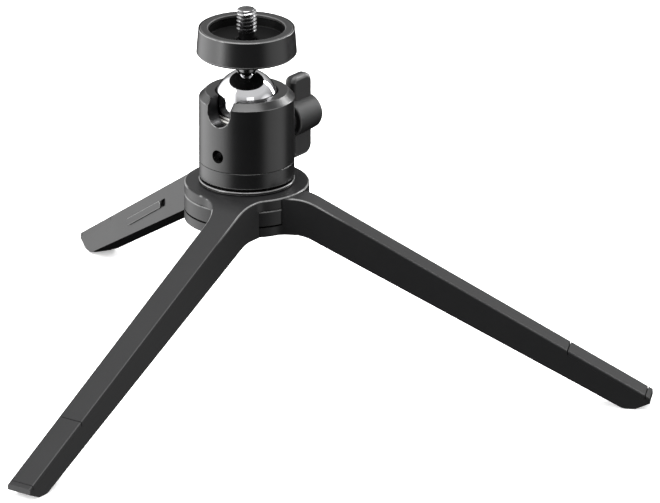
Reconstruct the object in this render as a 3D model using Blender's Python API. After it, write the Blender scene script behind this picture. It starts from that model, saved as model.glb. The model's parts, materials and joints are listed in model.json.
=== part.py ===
"""Mini table-top tripod with a ball head.

Three legs swing about one upright bolt and fold side by side. The head turns on
the bolt's upper end, and its ball carries a 1/4 inch camera stud with a lock disc.
Lengths are in metres, +Z is up, and the feet stand on Z = 0.
"""

import math

import bmesh
import bpy
from mathutils import Vector

MM = 0.001
GAP = 0.3 * MM                      # room kept between neighbouring pieces
SEGMENTS = 48                       # sides of the large round pieces
SMALL_SEGMENTS = 24                 # sides of bolts, holes and the knob

# Hub: three stacked discs on one bolt, listed from the top down
HUB_PAST_LEGS = 4.7 * MM            # hub radius beyond the folded legs' outer sides
TOP_DISC = 3.3 * MM
UPPER_DISC_GAP = 0.3 * MM
MIDDLE_DISC = 4.9 * MM
LOWER_DISC_GAP = 0.6 * MM
BOTTOM_DISC = 3.0 * MM
BOLT_RADIUS = 3.0 * MM
BOLT_HEAD_RADIUS = 5.5 * MM
BOLT_HEAD_HEIGHT = 3.0 * MM
BOLT_CHAMFER = 0.4 * MM
HEX_SOCKET_RADIUS = 2.3 * MM
HEX_SOCKET_DEPTH = 1.8 * MM
BOLT_WASHER_RADIUS = 8.0 * MM
BOLT_WASHER_THICKNESS = 1.0 * MM
FRICTION_WASHER_RADIUS = 12.0 * MM
FRICTION_WASHER_THICKNESS = 0.7 * MM

# Legs
LEG_REACH = 129.6 * MM              # from the hub's axis to the tip
LEG_WIDTH = 9.1 * MM                # at the hub
TIP_WIDTH = 8.9 * MM
TAPER_START = 35.0 * MM
FOLDED_GAP = 1.35 * MM              # between folded legs
TOP_SLOPE = math.radians(29.7)
UNDER_SLOPE = math.radians(27.7)
TOP_BEND_PAST_HUB = 0.7 * MM        # where level top and slope would meet
TOP_BEND_RADIUS = 16.0 * MM
UNDER_BEND_PAST_HUB = 0.2 * MM
UNDER_BEND_RADIUS = 12.0 * MM
TIP_THICKNESS = 0.9 * MM
TOE_RISE = math.radians(24.0)       # the underside climbs to the tip
TIP_LIFT = 2.0 * MM                 # by this much
TOE_ROUND = 5.0 * MM
EDGE_ROUND = 0.4 * MM
INNER_GUSSET = 9.5 * MM             # plan fillet on the side of the middle leg
OUTER_GUSSET = 6.0 * MM
MIDDLE_GUSSET = 2.0 * MM
GUSSET_OVERLAP = 0.5 * MM           # of the top disc's thin gusset with the full-height leg
TONGUE_LENGTH = 7.8 * MM            # the middle leg's thin part outside the hub
TONGUE_ROUND = 2.5 * MM
FRONT_AZIMUTH = math.radians(270.0)
RIGHT_AZIMUTH = math.radians(30.0)
BACK_AZIMUTH = math.radians(150.0)
STOP_RIB_PAST_HUB = 40.8 * MM
STOP_RIB_LENGTH = 28.0 * MM
STOP_RIB_HEIGHT = 2.6 * MM
STOP_RIB_DEPTH = 0.6 * MM
STOP_RIB_BELOW_TOP = 5.4 * MM
STOP_POCKET_LENGTH = 3.5 * MM
STOP_POCKET_DEPTH = 0.9 * MM

# Toe cover, let into the top of each toe, and the rubber pad under it
TOE_COVER_LENGTH = 24.9 * MM
TOE_END_STRIP = 1.3 * MM
TOE_COVER_RECESS = 1.5 * MM
TOE_COVER_SINK = 0.2 * MM
TOE_COVER_INSET = 0.25 * MM
FOOT_PAD_LENGTH = 3.6 * MM
FOOT_PAD_WIDTH = 5.8 * MM
FOOT_PAD_THICKNESS = 0.9 * MM
FOOT_PAD_PROUD = 0.2 * MM

# Head base and housing
HEAD_RADIUS = 15.05 * MM
SEAT_RING_PAST_HEAD = 0.1 * MM
SEAT_RING_HEIGHT = 1.0 * MM
BASE_WALL = 5.5 * MM                # from the seat ring up to the pan seam
BASE_CHAMFER = 0.8 * MM
PAN_BOSS_RADIUS = 11.5 * MM
PAN_THREAD_RADIUS = 9.5 * MM
PAN_NUT_RADIUS = 12.4 * MM
PAN_NUT_HEIGHT = 1.0 * MM
PAN_WASHER_WIDTH = 1.6 * MM
PAN_WASHER_THICKNESS = 0.6 * MM
HOUSING_LIP = 1.3 * MM
HOUSING_CHAMFER = 2.0 * MM
HOUSING_ABOVE_BALL_CENTRE = 3.3 * MM
NOTCH_WIDTH = 8.8 * MM
NOTCH_BELOW_BALL = 0.6 * MM         # centre of the notch's round end
LOCK_AXIS_BELOW_BALL = 2.5 * MM     # from the ball's lowest point
LOCK_SCREW_ABOVE_NUT = 2.5 * MM
TAP_HOLE_RADIUS = 2.15 * MM
TAP_HOLE_BELOW_LOCK = 2.3 * MM

# Ball, seat and clamp
BALL_RADIUS = 10.0 * MM
CUP_HEIGHT = 2.5 * MM
CUP_RIM = 0.95 * MM
DISC_SPRING_RISE = 0.6 * MM
DISC_SPRING_THICKNESS = 0.5 * MM
DISC_SPRING_WIDTH = 2.8 * MM
PISTON_HEIGHT = 6.5 * MM
LOCK_SCREW_RADIUS = 2.0 * MM
PAD_TIP = 5.0 * MM                  # distance of the pad's point from the axis
PAD_LENGTH = 4.9 * MM
PAD_POINT_RADIUS = 1.0 * MM
PAD_TAPER = 1.4 * MM

# Wing knob
KNOB_PAST_HUB = 0.4 * MM            # its inner end from the hub's edge
KNOB_LENGTH = 12.0 * MM
KNOB_INNER_RADIUS = 6.2 * MM
KNOB_OUTER_RADIUS = 5.8 * MM
KNOB_END_WALL = 2.0 * MM
KNOB_COLLAR_RADIUS = 4.6 * MM
WING_SPAN = 27.2 * MM               # the wings pass just over the legs
WING_THICKNESS = 4.0 * MM
WING_LENGTH = 9.9 * MM
WING_PAST_KNOB_START = 1.5 * MM
WING_OUTER_ROUND = 3.2 * MM
WING_INNER_ROUND = 2.0 * MM
WING_EDGE_ROUND = 1.3 * MM

# Camera stud and lock disc
STUD_RADIUS = 3.175 * MM            # 1/4 inch thread
STUD_TOP = 6.25 * MM                # above the disc's rim
STUD_CHAMFER = 0.4 * MM
STUD_UPPER_THREAD = 7.0 * MM
STUD_NECK_RADIUS = 2.5 * MM
STUD_THREAD_BELOW_DISC = 2.5 * MM
STUD_IN_BALL = 6.0 * MM
THREAD_ABOVE_FLOOR = 1.2 * MM
DISC_HEIGHT = 8.8 * MM
DISC_TOP_RADIUS = 15.25 * MM
DISC_BOTTOM_RADIUS = 15.85 * MM
DISC_CHAMFER = 0.7 * MM
DISC_PAST_HEAD = 0.3 * MM           # room when the stud lies in the notch
RECESS_RADIUS = 12.15 * MM
RECESS_DEPTH = 3.8 * MM
GRIP_RING_THICKNESS = 0.9 * MM
RIM_LIP = 0.3 * MM                  # metal left outside the grip ring's groove

# Places worked out from the sizes above
LEG_PITCH = LEG_WIDTH + FOLDED_GAP
HUB_RADIUS = LEG_PITCH + LEG_WIDTH / 2 + HUB_PAST_LEGS
TOP_BEND_START = HUB_RADIUS + TOP_BEND_PAST_HUB
UNDER_BEND_START = HUB_RADIUS + UNDER_BEND_PAST_HUB
TIP_BOTTOM = FOOT_PAD_PROUD + TIP_LIFT
TIP_TOP = TIP_BOTTOM + TIP_THICKNESS
TOE_COVER_END = LEG_REACH - TOE_END_STRIP
TOE_COVER_START = TOE_COVER_END - TOE_COVER_LENGTH
HUB_TOP = TIP_TOP + (LEG_REACH - TOP_BEND_START) * math.tan(TOP_SLOPE)
TOP_DISC_UNDER = HUB_TOP - TOP_DISC
MIDDLE_TOP = TOP_DISC_UNDER - UPPER_DISC_GAP
MIDDLE_UNDER = MIDDLE_TOP - MIDDLE_DISC
BOTTOM_DISC_TOP = MIDDLE_UNDER - LOWER_DISC_GAP
HUB_BOTTOM = BOTTOM_DISC_TOP - BOTTOM_DISC
BOLT_HOLE = BOLT_RADIUS + GAP
HUB_CLEARANCE = HUB_RADIUS + GAP
SEAT_RING_TOP = HUB_TOP + GAP + SEAT_RING_HEIGHT
BASE_BOTTOM = SEAT_RING_TOP + GAP
BASE_TOP = BASE_BOTTOM + BASE_WALL
HOUSING_BOTTOM = BASE_TOP + GAP
LIP_TOP = HOUSING_BOTTOM + HOUSING_LIP
PAN_NUT_BOTTOM = LIP_TOP + GAP
PAN_NUT_TOP = PAN_NUT_BOTTOM + PAN_NUT_HEIGHT
LOCK_AXIS_Z = PAN_NUT_TOP + LOCK_SCREW_ABOVE_NUT + LOCK_SCREW_RADIUS
BALL_Z = LOCK_AXIS_Z + LOCK_AXIS_BELOW_BALL + BALL_RADIUS
HOUSING_TOP = BALL_Z + HOUSING_ABOVE_BALL_CENTRE
SOCKET_RADIUS = BALL_RADIUS + GAP
SEAT_RADIUS = BALL_RADIUS
SEAT_BORE = SEAT_RADIUS + GAP
SCREW_HOLE = LOCK_SCREW_RADIUS + GAP
CUP_TOP = BALL_Z - math.sqrt(SOCKET_RADIUS ** 2 - (SEAT_RADIUS - CUP_RIM) ** 2)
CUP_BOTTOM = CUP_TOP - CUP_HEIGHT
KNOB_START = HUB_RADIUS + KNOB_PAST_HUB         # distances from the hub's axis
WING_START = KNOB_START + WING_PAST_KNOB_START
DISC_BOTTOM = HEAD_RADIUS + DISC_PAST_HEAD      # heights above the ball's centre
DISC_TOP = DISC_BOTTOM + DISC_HEIGHT
DISC_FLOOR = DISC_TOP - RECESS_DEPTH


# ---------------------------------------------------------------- outlines

def arc(centre, radius, start, end, steps):
    """Points on a circle from one angle to another, both ends included."""
    angles = [start + (end - start) * i / steps for i in range(steps + 1)]
    return [(centre[0] + radius * math.cos(a), centre[1] + radius * math.sin(a)) for a in angles]


def rounded(corners, steps=6):
    """A closed outline from (x, y, radius) corners, each corner turned into an arc."""
    outline = []
    for i, (x, y, radius) in enumerate(corners):
        here = Vector((x, y))
        before = Vector(corners[i - 1][:2]) - here
        after = Vector(corners[(i + 1) % len(corners)][:2]) - here
        if radius <= 0:
            outline.append((x, y))
            continue
        half = before.angle(after) / 2
        centre = here + (before.normalized() + after.normalized()).normalized() * (radius / math.sin(half))
        reach = radius / math.tan(half)
        first = here + before.normalized() * reach - centre
        last = here + after.normalized() * reach - centre
        start = math.atan2(first.y, first.x)
        turn = math.remainder(math.atan2(last.y, last.x) - start, math.tau)
        outline += arc(centre, radius, start, start + turn, steps)
    return outline


# ---------------------------------------------------------------- meshes

def new_object(name, mesh_builder, material, parent, location=(0, 0, 0), rotation=(0, 0, 0)):
    """Store a bmesh as a named, smooth-shaded object under its parent."""
    bmesh.ops.recalc_face_normals(mesh_builder, faces=mesh_builder.faces)
    if mesh_builder.calc_volume(signed=True) < 0:
        bmesh.ops.reverse_faces(mesh_builder, faces=mesh_builder.faces)
    mesh = bpy.data.meshes.new(name)
    mesh_builder.to_mesh(mesh)
    mesh_builder.free()
    mesh.shade_smooth()
    mesh.set_sharp_from_angle(angle=math.radians(30))
    piece = bpy.data.objects.new(name, mesh)
    bpy.context.collection.objects.link(piece)
    if material is not None:
        mesh.materials.append(material)
    piece.parent = parent
    piece.location = location
    piece.rotation_euler = rotation
    return piece


def turned(outline, closed=False, segments=SEGMENTS):
    """Spin an outline of (radius, height) points about Z."""
    builder = bmesh.new()
    verts = [builder.verts.new((radius, 0, height)) for radius, height in outline]
    edges = [builder.edges.new(pair) for pair in zip(verts, verts[1:])]
    if closed:
        edges.append(builder.edges.new((verts[-1], verts[0])))
    bmesh.ops.spin(builder, geom=verts + edges, axis=(0, 0, 1), cent=(0, 0, 0),
                   angle=math.tau, steps=segments)
    bmesh.ops.remove_doubles(builder, verts=builder.verts, dist=1e-7)
    return builder


def ring(inner, outer, bottom, top, segments=SEGMENTS):
    """A flat ring of rectangular section."""
    return turned([(inner, bottom), (outer, bottom), (outer, top), (inner, top)], True, segments)


def prism(outline, low, high):
    """An outline of (x, y) points drawn up from one height to another."""
    builder = bmesh.new()
    face = builder.faces.new([builder.verts.new((x, y, low)) for x, y in outline])
    grown = bmesh.ops.extrude_face_region(builder, geom=[face])["geom"]
    top = [v for v in grown if isinstance(v, bmesh.types.BMVert)]
    bmesh.ops.translate(builder, verts=top, vec=(0, 0, high - low))
    return builder


def side_prism(outline, near, far):
    """An outline of (x, z) points drawn across from y = near(x) to y = far(x)."""
    builder = prism([(x, z) for x, z in outline], 0, 1)
    for vert in builder.verts:
        x, z, across = vert.co
        vert.co = (x, far(x) if across > 0.5 else near(x), z)
    return builder


def cylinder(radius, low, high, segments=SMALL_SEGMENTS):
    return turned([(0, low), (radius, low), (radius, high), (0, high)], segments=segments)


def boolean(piece, name, mesh_builder, operation="DIFFERENCE", location=(0, 0, 0), rotation=(0, 0, 0)):
    """Cut, join or intersect a piece with a hidden guide shape placed in the piece's own frame."""
    guide = new_object(f"{piece.name}_{name}", mesh_builder, None, piece, location, rotation)
    guide.hide_render = True
    guide.display_type = "WIRE"
    modifier = piece.modifiers.new(name, "BOOLEAN")
    modifier.object = guide
    modifier.operation = operation
    modifier.solver = "EXACT"
    return guide


def round_edges(piece, width, segments=2):
    bevel = piece.modifiers.new("round_edges", "BEVEL")
    bevel.width = width
    bevel.segments = segments
    bevel.limit_method = "ANGLE"
    bevel.angle_limit = math.radians(40)


def material(name, colour, roughness, metallic=0.0):
    made = bpy.data.materials.new(name)
    made.use_nodes = True
    shader = made.node_tree.nodes["Principled BSDF"]
    shader.inputs["Base Color"].default_value = (*colour, 1)
    shader.inputs["Roughness"].default_value = roughness
    shader.inputs["Metallic"].default_value = metallic
    return made


def empty(name, parent=None, location=(0, 0, 0), rotation=(0, 0, 0)):
    made = bpy.data.objects.new(name, None)
    bpy.context.collection.objects.link(made)
    made.parent = parent
    made.location = location
    made.rotation_euler = rotation
    return made


# ---------------------------------------------------------------- legs

def top_level(x):
    """Height of a leg's sloping top at distance x from the hub's axis."""
    return HUB_TOP - (x - TOP_BEND_START) * math.tan(TOP_SLOPE)


def under_level(x):
    return HUB_BOTTOM - (x - UNDER_BEND_START) * math.tan(UNDER_SLOPE)


def half_width(x):
    taper = max(0.0, (x - TAPER_START) / (LEG_REACH - TAPER_START))
    return (LEG_WIDTH + (TIP_WIDTH - LEG_WIDTH) * taper) / 2


def toe_flat():
    """Where the toe's level underside starts and ends."""
    start = UNDER_BEND_START + (HUB_BOTTOM - FOOT_PAD_PROUD) / math.tan(UNDER_SLOPE)
    return start, LEG_REACH - TIP_LIFT / math.tan(TOE_RISE)


def side_outline(middle):
    """A leg seen from the side, hub disc included."""
    back = -HUB_RADIUS - 5 * MM
    flat_start, flat_end = toe_flat()
    toe = [(LEG_REACH, TIP_TOP, 0), (LEG_REACH, TIP_BOTTOM, 0),
           (flat_end, FOOT_PAD_PROUD, 1 * MM), (flat_start, FOOT_PAD_PROUD, TOE_ROUND)]
    if middle:
        bend = TOP_BEND_START + (HUB_TOP - MIDDLE_TOP) / math.tan(TOP_SLOPE)
        step = HUB_RADIUS + TONGUE_LENGTH
        return rounded([(back, MIDDLE_TOP, 0), (bend, MIDDLE_TOP, TOP_BEND_RADIUS / 2)] + toe +
                       [(step, under_level(step), TONGUE_ROUND), (step, MIDDLE_UNDER, TONGUE_ROUND),
                        (back, MIDDLE_UNDER, 0)])
    return rounded([(back, HUB_TOP, 0), (TOP_BEND_START, HUB_TOP, TOP_BEND_RADIUS)] + toe +
                   [(UNDER_BEND_START, HUB_BOTTOM, UNDER_BEND_RADIUS), (back, HUB_BOTTOM, 0)])


def gusset(edge, radius):
    """Centre of the plan fillet between the disc and a leg edge at distance edge."""
    across = edge + radius
    return math.sqrt((HUB_RADIUS + radius) ** 2 - across ** 2), across


def plan_outline(offset, inner_radius, outer_radius):
    """A leg seen from above: disc, two plan fillets and the strip of the leg."""
    outer = offset + LEG_WIDTH / 2
    inner = offset - LEG_WIDTH / 2
    outer_x, outer_y = gusset(outer, outer_radius)
    inner_x, inner_y = gusset(-inner, inner_radius)
    outer_angle = math.atan2(outer_y, outer_x)
    inner_angle = math.atan2(-inner_y, inner_x)
    points = arc((0, 0), HUB_RADIUS, outer_angle, inner_angle + math.tau, SEGMENTS)
    points += arc((inner_x, -inner_y), inner_radius, inner_angle + math.pi, math.pi / 2, 10)[1:]
    points += [(TAPER_START, inner), (LEG_REACH, offset - half_width(LEG_REACH)),
               (LEG_REACH, offset + half_width(LEG_REACH)), (TAPER_START, outer)]
    points += arc((outer_x, outer_y), outer_radius, 1.5 * math.pi, outer_angle + math.pi, 10)[:-1]
    return points


def clear_of_discs(leg, side, low, high):
    """Take away the part of a leg's hub end that the other two discs pass through."""
    inner = LEG_PITCH - LEG_WIDTH / 2
    outer = LEG_PITCH + LEG_WIDTH / 2
    inner_end = gusset(-inner, INNER_GUSSET)[0]
    outer_end = gusset(outer, OUTER_GUSSET)[0]
    reach = inner_end
    if high < HUB_TOP:
        reach = min(inner_end, TOP_BEND_START + TOP_DISC / math.tan(TOP_SLOPE)) - GUSSET_OVERLAP
    far = 2 * HUB_RADIUS
    inner_box = [(-far, -far), (reach, -far), (reach, inner), (-far, inner)]
    outer_box = [(-far, outer), (outer_end, outer), (outer_end, far), (-far, far)]
    boolean(leg, "disc_room", cylinder(HUB_CLEARANCE, low, high, SEGMENTS))
    for name, box in (("inner_room", inner_box), ("outer_room", outer_box)):
        boolean(leg, name, prism([(x, side * y) for x, y in box], low, high))


def finish_toe(leg, pivot, place, offset, looks):
    """Let the toe cover and the rubber foot pad into a leg."""
    start, end = TOE_COVER_START, TOE_COVER_END
    recess = [(start, top_level(start) + TOE_COVER_RECESS), (end, top_level(end) + TOE_COVER_RECESS),
              (end, top_level(end) - TOE_COVER_RECESS), (start, top_level(start) - TOE_COVER_RECESS)]
    boolean(leg, "cover_recess", side_prism(recess, lambda x: offset - LEG_WIDTH,
                                            lambda x: offset + LEG_WIDTH))
    start, end = start + GAP, end - GAP
    low = TOE_COVER_RECESS - GAP
    cover = [(start, top_level(start) - TOE_COVER_SINK), (end, top_level(end) - TOE_COVER_SINK),
             (end, top_level(end) - low), (start, top_level(start) - low)]
    new_object(f"toe_cover_{place}",
               side_prism(cover, lambda x: offset - half_width(x) + TOE_COVER_INSET,
                          lambda x: offset + half_width(x) - TOE_COVER_INSET),
               looks["leg"], pivot)

    flat_start, flat_end = toe_flat()
    middle = (flat_start + flat_end) / 2
    half_length, half_across = FOOT_PAD_LENGTH / 2, FOOT_PAD_WIDTH / 2
    pad = [(middle - half_length, 0), (middle + half_length, 0),
           (middle + half_length, FOOT_PAD_THICKNESS), (middle - half_length, FOOT_PAD_THICKNESS)]
    room = [(middle - half_length - GAP, -1 * MM), (middle + half_length + GAP, -1 * MM),
            (middle + half_length + GAP, FOOT_PAD_THICKNESS + GAP),
            (middle - half_length - GAP, FOOT_PAD_THICKNESS + GAP)]
    boolean(leg, "pad_recess", side_prism(room, lambda x: offset - half_across - GAP,
                                          lambda x: offset + half_across + GAP))
    new_object(f"foot_pad_{place}", side_prism(pad, lambda x: offset - half_across,
                                               lambda x: offset + half_across), looks["rubber"], pivot)


def make_leg(place, side, pivot, looks):
    """One leg with its hub disc. side is 1, -1 or 0: left, right or middle when folded."""
    offset = side * LEG_PITCH
    if side:
        plan = [(x, side * y) for x, y in plan_outline(LEG_PITCH, INNER_GUSSET, OUTER_GUSSET)]
    else:
        plan = plan_outline(0, MIDDLE_GUSSET, MIDDLE_GUSSET)
    leg = new_object(f"leg_{place}", prism(plan, -10 * MM, HUB_TOP + 10 * MM), looks["leg"], pivot)
    wide = 3 * HUB_RADIUS
    boolean(leg, "profile", side_prism(side_outline(side == 0), lambda x: -wide, lambda x: wide), "INTERSECT")
    round_edges(leg, EDGE_ROUND)
    if side > 0:
        clear_of_discs(leg, side, HUB_BOTTOM - 5 * MM, TOP_DISC_UNDER)
    elif side < 0:
        clear_of_discs(leg, side, BOTTOM_DISC_TOP, HUB_TOP + 5 * MM)
    boolean(leg, "bolt_hole", cylinder(BOLT_HOLE, HUB_BOTTOM - 5 * MM, HUB_TOP + 5 * MM))
    finish_toe(leg, pivot, place, offset, looks)
    return leg


def add_stop_rib(leg):
    """The raised rib on the middle leg's side, with a small pocket at its hub end."""
    def band(start, end, low, high):
        below = STOP_RIB_BELOW_TOP
        return [(start, top_level(start) - below - low), (end, top_level(end) - below - low),
                (end, top_level(end) - below + high), (start, top_level(start) - below + high)]

    half = STOP_RIB_HEIGHT / 2
    start = HUB_RADIUS + STOP_RIB_PAST_HUB
    boolean(leg, "stop_rib", side_prism(band(start, start + STOP_RIB_LENGTH, half, half), lambda x: 0,
                                        lambda x: half_width(x) + STOP_RIB_DEPTH), "UNION")
    boolean(leg, "stop_pocket", side_prism(band(start - STOP_POCKET_LENGTH, start, half, half),
                                           lambda x: half_width(x) - STOP_POCKET_DEPTH,
                                           lambda x: LEG_WIDTH))


# ---------------------------------------------------------------- hub bolt and washers

def make_hub_hardware(axis, back_leg, looks):
    """The upright bolt, its washer and the two friction washers between the discs."""
    washer_bottom = HUB_BOTTOM - GAP - BOLT_WASHER_THICKNESS
    head_top = washer_bottom - GAP
    head_bottom = head_top - BOLT_HEAD_HEIGHT
    bolt_top = BASE_TOP - GAP
    chamfer = BOLT_CHAMFER
    bolt = new_object("centre_bolt", turned([
        (0, head_bottom), (BOLT_HEAD_RADIUS - chamfer, head_bottom),
        (BOLT_HEAD_RADIUS, head_bottom + chamfer), (BOLT_HEAD_RADIUS, head_top),
        (BOLT_RADIUS, head_top), (BOLT_RADIUS, bolt_top - chamfer),
        (BOLT_RADIUS - chamfer, bolt_top), (0, bolt_top)], segments=SMALL_SEGMENTS), looks["steel"], axis)
    boolean(bolt, "hex_socket", cylinder(HEX_SOCKET_RADIUS, head_bottom - 1 * MM,
                                         head_bottom + HEX_SOCKET_DEPTH, 6))
    new_object("bolt_washer", ring(BOLT_HOLE, BOLT_WASHER_RADIUS, washer_bottom,
                                   washer_bottom + BOLT_WASHER_THICKNESS), looks["steel"], axis)

    recess = FRICTION_WASHER_RADIUS + GAP
    upper_recess = FRICTION_WASHER_THICKNESS + 2 * GAP - UPPER_DISC_GAP
    lower_recess = FRICTION_WASHER_THICKNESS + 2 * GAP - LOWER_DISC_GAP
    boolean(back_leg, "upper_recess", cylinder(recess, MIDDLE_TOP - upper_recess, HUB_TOP, SEGMENTS))
    boolean(back_leg, "lower_recess", cylinder(recess, HUB_BOTTOM, MIDDLE_UNDER + lower_recess, SEGMENTS))
    for name, bottom in (("upper_friction_washer", MIDDLE_TOP - upper_recess + GAP),
                         ("lower_friction_washer", BOTTOM_DISC_TOP + GAP)):
        new_object(name, ring(BOLT_HOLE, FRICTION_WASHER_RADIUS, bottom,
                              bottom + FRICTION_WASHER_THICKNESS), looks["nylon"], axis)


def make_head_base(axis, looks):
    """The fixed base that the housing pans on."""
    new_object("seat_ring", ring(BOLT_HOLE, HEAD_RADIUS + SEAT_RING_PAST_HEAD, HUB_TOP + GAP, SEAT_RING_TOP),
               looks["metal"], axis)
    washer_outer = HEAD_RADIUS - 1 * MM
    washer_inner = washer_outer - PAN_WASHER_WIDTH
    groove_floor = BASE_TOP - PAN_WASHER_THICKNESS - GAP
    new_object("head_base", turned([
        (BOLT_HOLE, BASE_BOTTOM), (HEAD_RADIUS - BASE_CHAMFER, BASE_BOTTOM),
        (HEAD_RADIUS, BASE_BOTTOM + BASE_CHAMFER), (HEAD_RADIUS, BASE_TOP),
        (washer_outer + GAP, BASE_TOP), (washer_outer + GAP, groove_floor),
        (washer_inner - GAP, groove_floor), (washer_inner - GAP, BASE_TOP),
        (PAN_BOSS_RADIUS, BASE_TOP), (PAN_BOSS_RADIUS, LIP_TOP),
        (PAN_THREAD_RADIUS, LIP_TOP), (PAN_THREAD_RADIUS, PAN_NUT_TOP),
        (BOLT_HOLE, PAN_NUT_TOP)], True), looks["metal"], axis)
    new_object("pan_washer", ring(washer_inner, washer_outer, groove_floor + GAP,
                                  groove_floor + GAP + PAN_WASHER_THICKNESS), looks["nylon"], axis)
    new_object("pan_ring_nut", ring(PAN_THREAD_RADIUS + GAP, PAN_NUT_RADIUS, PAN_NUT_BOTTOM, PAN_NUT_TOP),
               looks["steel"], axis)


# ---------------------------------------------------------------- head

def make_housing(axis, looks):
    """The round body: a lip below, a bore for the seat, a socket around the ball."""
    nut_room = PAN_NUT_RADIUS + GAP
    nut_room_top = PAN_NUT_TOP + 2 * GAP
    rise = HOUSING_ABOVE_BALL_CENTRE
    start = math.asin(rise / SOCKET_RADIUS)
    socket = arc((0, BALL_Z), SOCKET_RADIUS, start, 0, 6)
    housing = new_object("housing", turned([
        (PAN_BOSS_RADIUS + GAP, HOUSING_BOTTOM), (HEAD_RADIUS, HOUSING_BOTTOM),
        (HEAD_RADIUS, HOUSING_TOP - HOUSING_CHAMFER), (HEAD_RADIUS - HOUSING_CHAMFER, HOUSING_TOP)] +
        socket + [(SEAT_BORE, nut_room_top), (nut_room, nut_room_top), (nut_room, LIP_TOP),
                  (PAN_BOSS_RADIUS + GAP, LIP_TOP)], True), looks["metal"], axis)
    half = NOTCH_WIDTH / 2
    far = HOUSING_TOP + 5 * MM - BALL_Z + NOTCH_BELOW_BALL
    notch = [(half, far)] + arc((0, 0), half, 0, -math.pi, 16) + [(-half, far)]
    toward_front = (math.pi / 2, 0, 0)              # local z then points to -Y
    boolean(housing, "notch", prism(notch, 0, HEAD_RADIUS + 5 * MM),
            location=(0, 0, BALL_Z - NOTCH_BELOW_BALL), rotation=toward_front)
    boolean(housing, "tap_hole", cylinder(TAP_HOLE_RADIUS, SEAT_RADIUS / 2, 2 * HEAD_RADIUS),
            location=(0, 0, LOCK_AXIS_Z - TAP_HOLE_BELOW_LOCK),
            rotation=(math.pi / 2, math.pi / SMALL_SEGMENTS, 0))
    boolean(housing, "screw_hole", cylinder(SCREW_HOLE, SEAT_RADIUS / 2, 2 * HEAD_RADIUS),
            location=(0, 0, LOCK_AXIS_Z), rotation=(-math.pi / 2, 0, 0))


def make_seat(axis, looks):
    """The lift piston, the disc spring and the nylon cup that press on the ball."""
    piston_top = CUP_BOTTOM - 2 * GAP - DISC_SPRING_RISE - DISC_SPRING_THICKNESS
    piston_bottom = piston_top - PISTON_HEIGHT
    dish_radius = BALL_RADIUS + 2 * GAP
    dish = arc((0, BALL_Z), dish_radius, -math.asin((BALL_Z - piston_top) / dish_radius), -math.pi / 2, 6)
    inner = SEAT_RADIUS - DISC_SPRING_WIDTH
    piston = new_object("lift_piston", turned([
        (0, piston_bottom), (SEAT_RADIUS, piston_bottom), (SEAT_RADIUS, piston_top)] + dish),
        looks["steel"], axis)
    boolean(piston, "screw_bore", cylinder(SCREW_HOLE, PAD_TIP - 2 * GAP, 2 * SEAT_RADIUS),
            location=(0, 0, LOCK_AXIS_Z), rotation=(-math.pi / 2, 0, 0))
    spring_low = piston_top + GAP
    spring_high = spring_low + DISC_SPRING_RISE
    new_object("disc_spring", turned([
        (inner, spring_high), (SEAT_RADIUS - GAP, spring_low),
        (SEAT_RADIUS - GAP, spring_low + DISC_SPRING_THICKNESS),
        (inner, spring_high + DISC_SPRING_THICKNESS)], True), looks["steel"], axis)
    low_angle = -math.asin((BALL_Z - CUP_BOTTOM) / SOCKET_RADIUS)
    high_angle = -math.asin((BALL_Z - CUP_TOP) / SOCKET_RADIUS)
    bowl = arc((0, BALL_Z), SOCKET_RADIUS, high_angle, low_angle, 8)
    new_object("ball_cup", turned([(SEAT_RADIUS, CUP_BOTTOM), (SEAT_RADIUS, CUP_TOP)] + bowl, True),
               looks["nylon"], axis)


def make_knob(lock_axis, looks):
    """Everything on the clamping screw. Along this empty's Z, away from the hub's axis."""
    pad_shoulder = PAD_TIP + PAD_TAPER
    pad_end = PAD_TIP + PAD_LENGTH
    new_object("pressure_pad", turned([
        (0, PAD_TIP), (PAD_POINT_RADIUS, PAD_TIP), (LOCK_SCREW_RADIUS, pad_shoulder),
        (LOCK_SCREW_RADIUS, pad_end), (0, pad_end)], segments=SMALL_SEGMENTS), looks["brass"], lock_axis)

    turn = empty("knob_turn_axis", lock_axis)
    knob_end = KNOB_START + KNOB_LENGTH
    screw_end = knob_end - KNOB_END_WALL - GAP
    new_object("lock_screw", cylinder(LOCK_SCREW_RADIUS, pad_end + GAP, screw_end), looks["steel"], turn)
    new_object("knob_collar", ring(SCREW_HOLE, KNOB_COLLAR_RADIUS, HEAD_RADIUS + GAP, KNOB_START - GAP,
                                   SMALL_SEGMENTS), looks["plastic"], turn)

    half_span, half_thick = WING_SPAN / 2, WING_THICKNESS / 2
    wing_end = WING_START + WING_LENGTH
    wing = rounded([(-half_span, WING_START, WING_INNER_ROUND), (half_span, WING_START, WING_INNER_ROUND),
                    (half_span, wing_end, WING_OUTER_ROUND), (-half_span, wing_end, WING_OUTER_ROUND)])
    knob = new_object("wing_knob", turned([
        (0, KNOB_START), (KNOB_INNER_RADIUS, KNOB_START), (KNOB_OUTER_RADIUS, knob_end),
        (0, knob_end)], segments=SMALL_SEGMENTS), looks["plastic"], turn)
    wing_mesh = side_prism(wing, lambda x: -half_thick, lambda x: half_thick)
    wings = boolean(knob, "wings", wing_mesh, "UNION", rotation=(0, 0, math.pi / 2))
    round_edges(wings, WING_EDGE_ROUND)
    boolean(knob, "screw_bore", cylinder(SCREW_HOLE, KNOB_START - 1 * MM, knob_end - KNOB_END_WALL))


# ---------------------------------------------------------------- ball, stud and lock disc

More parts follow.
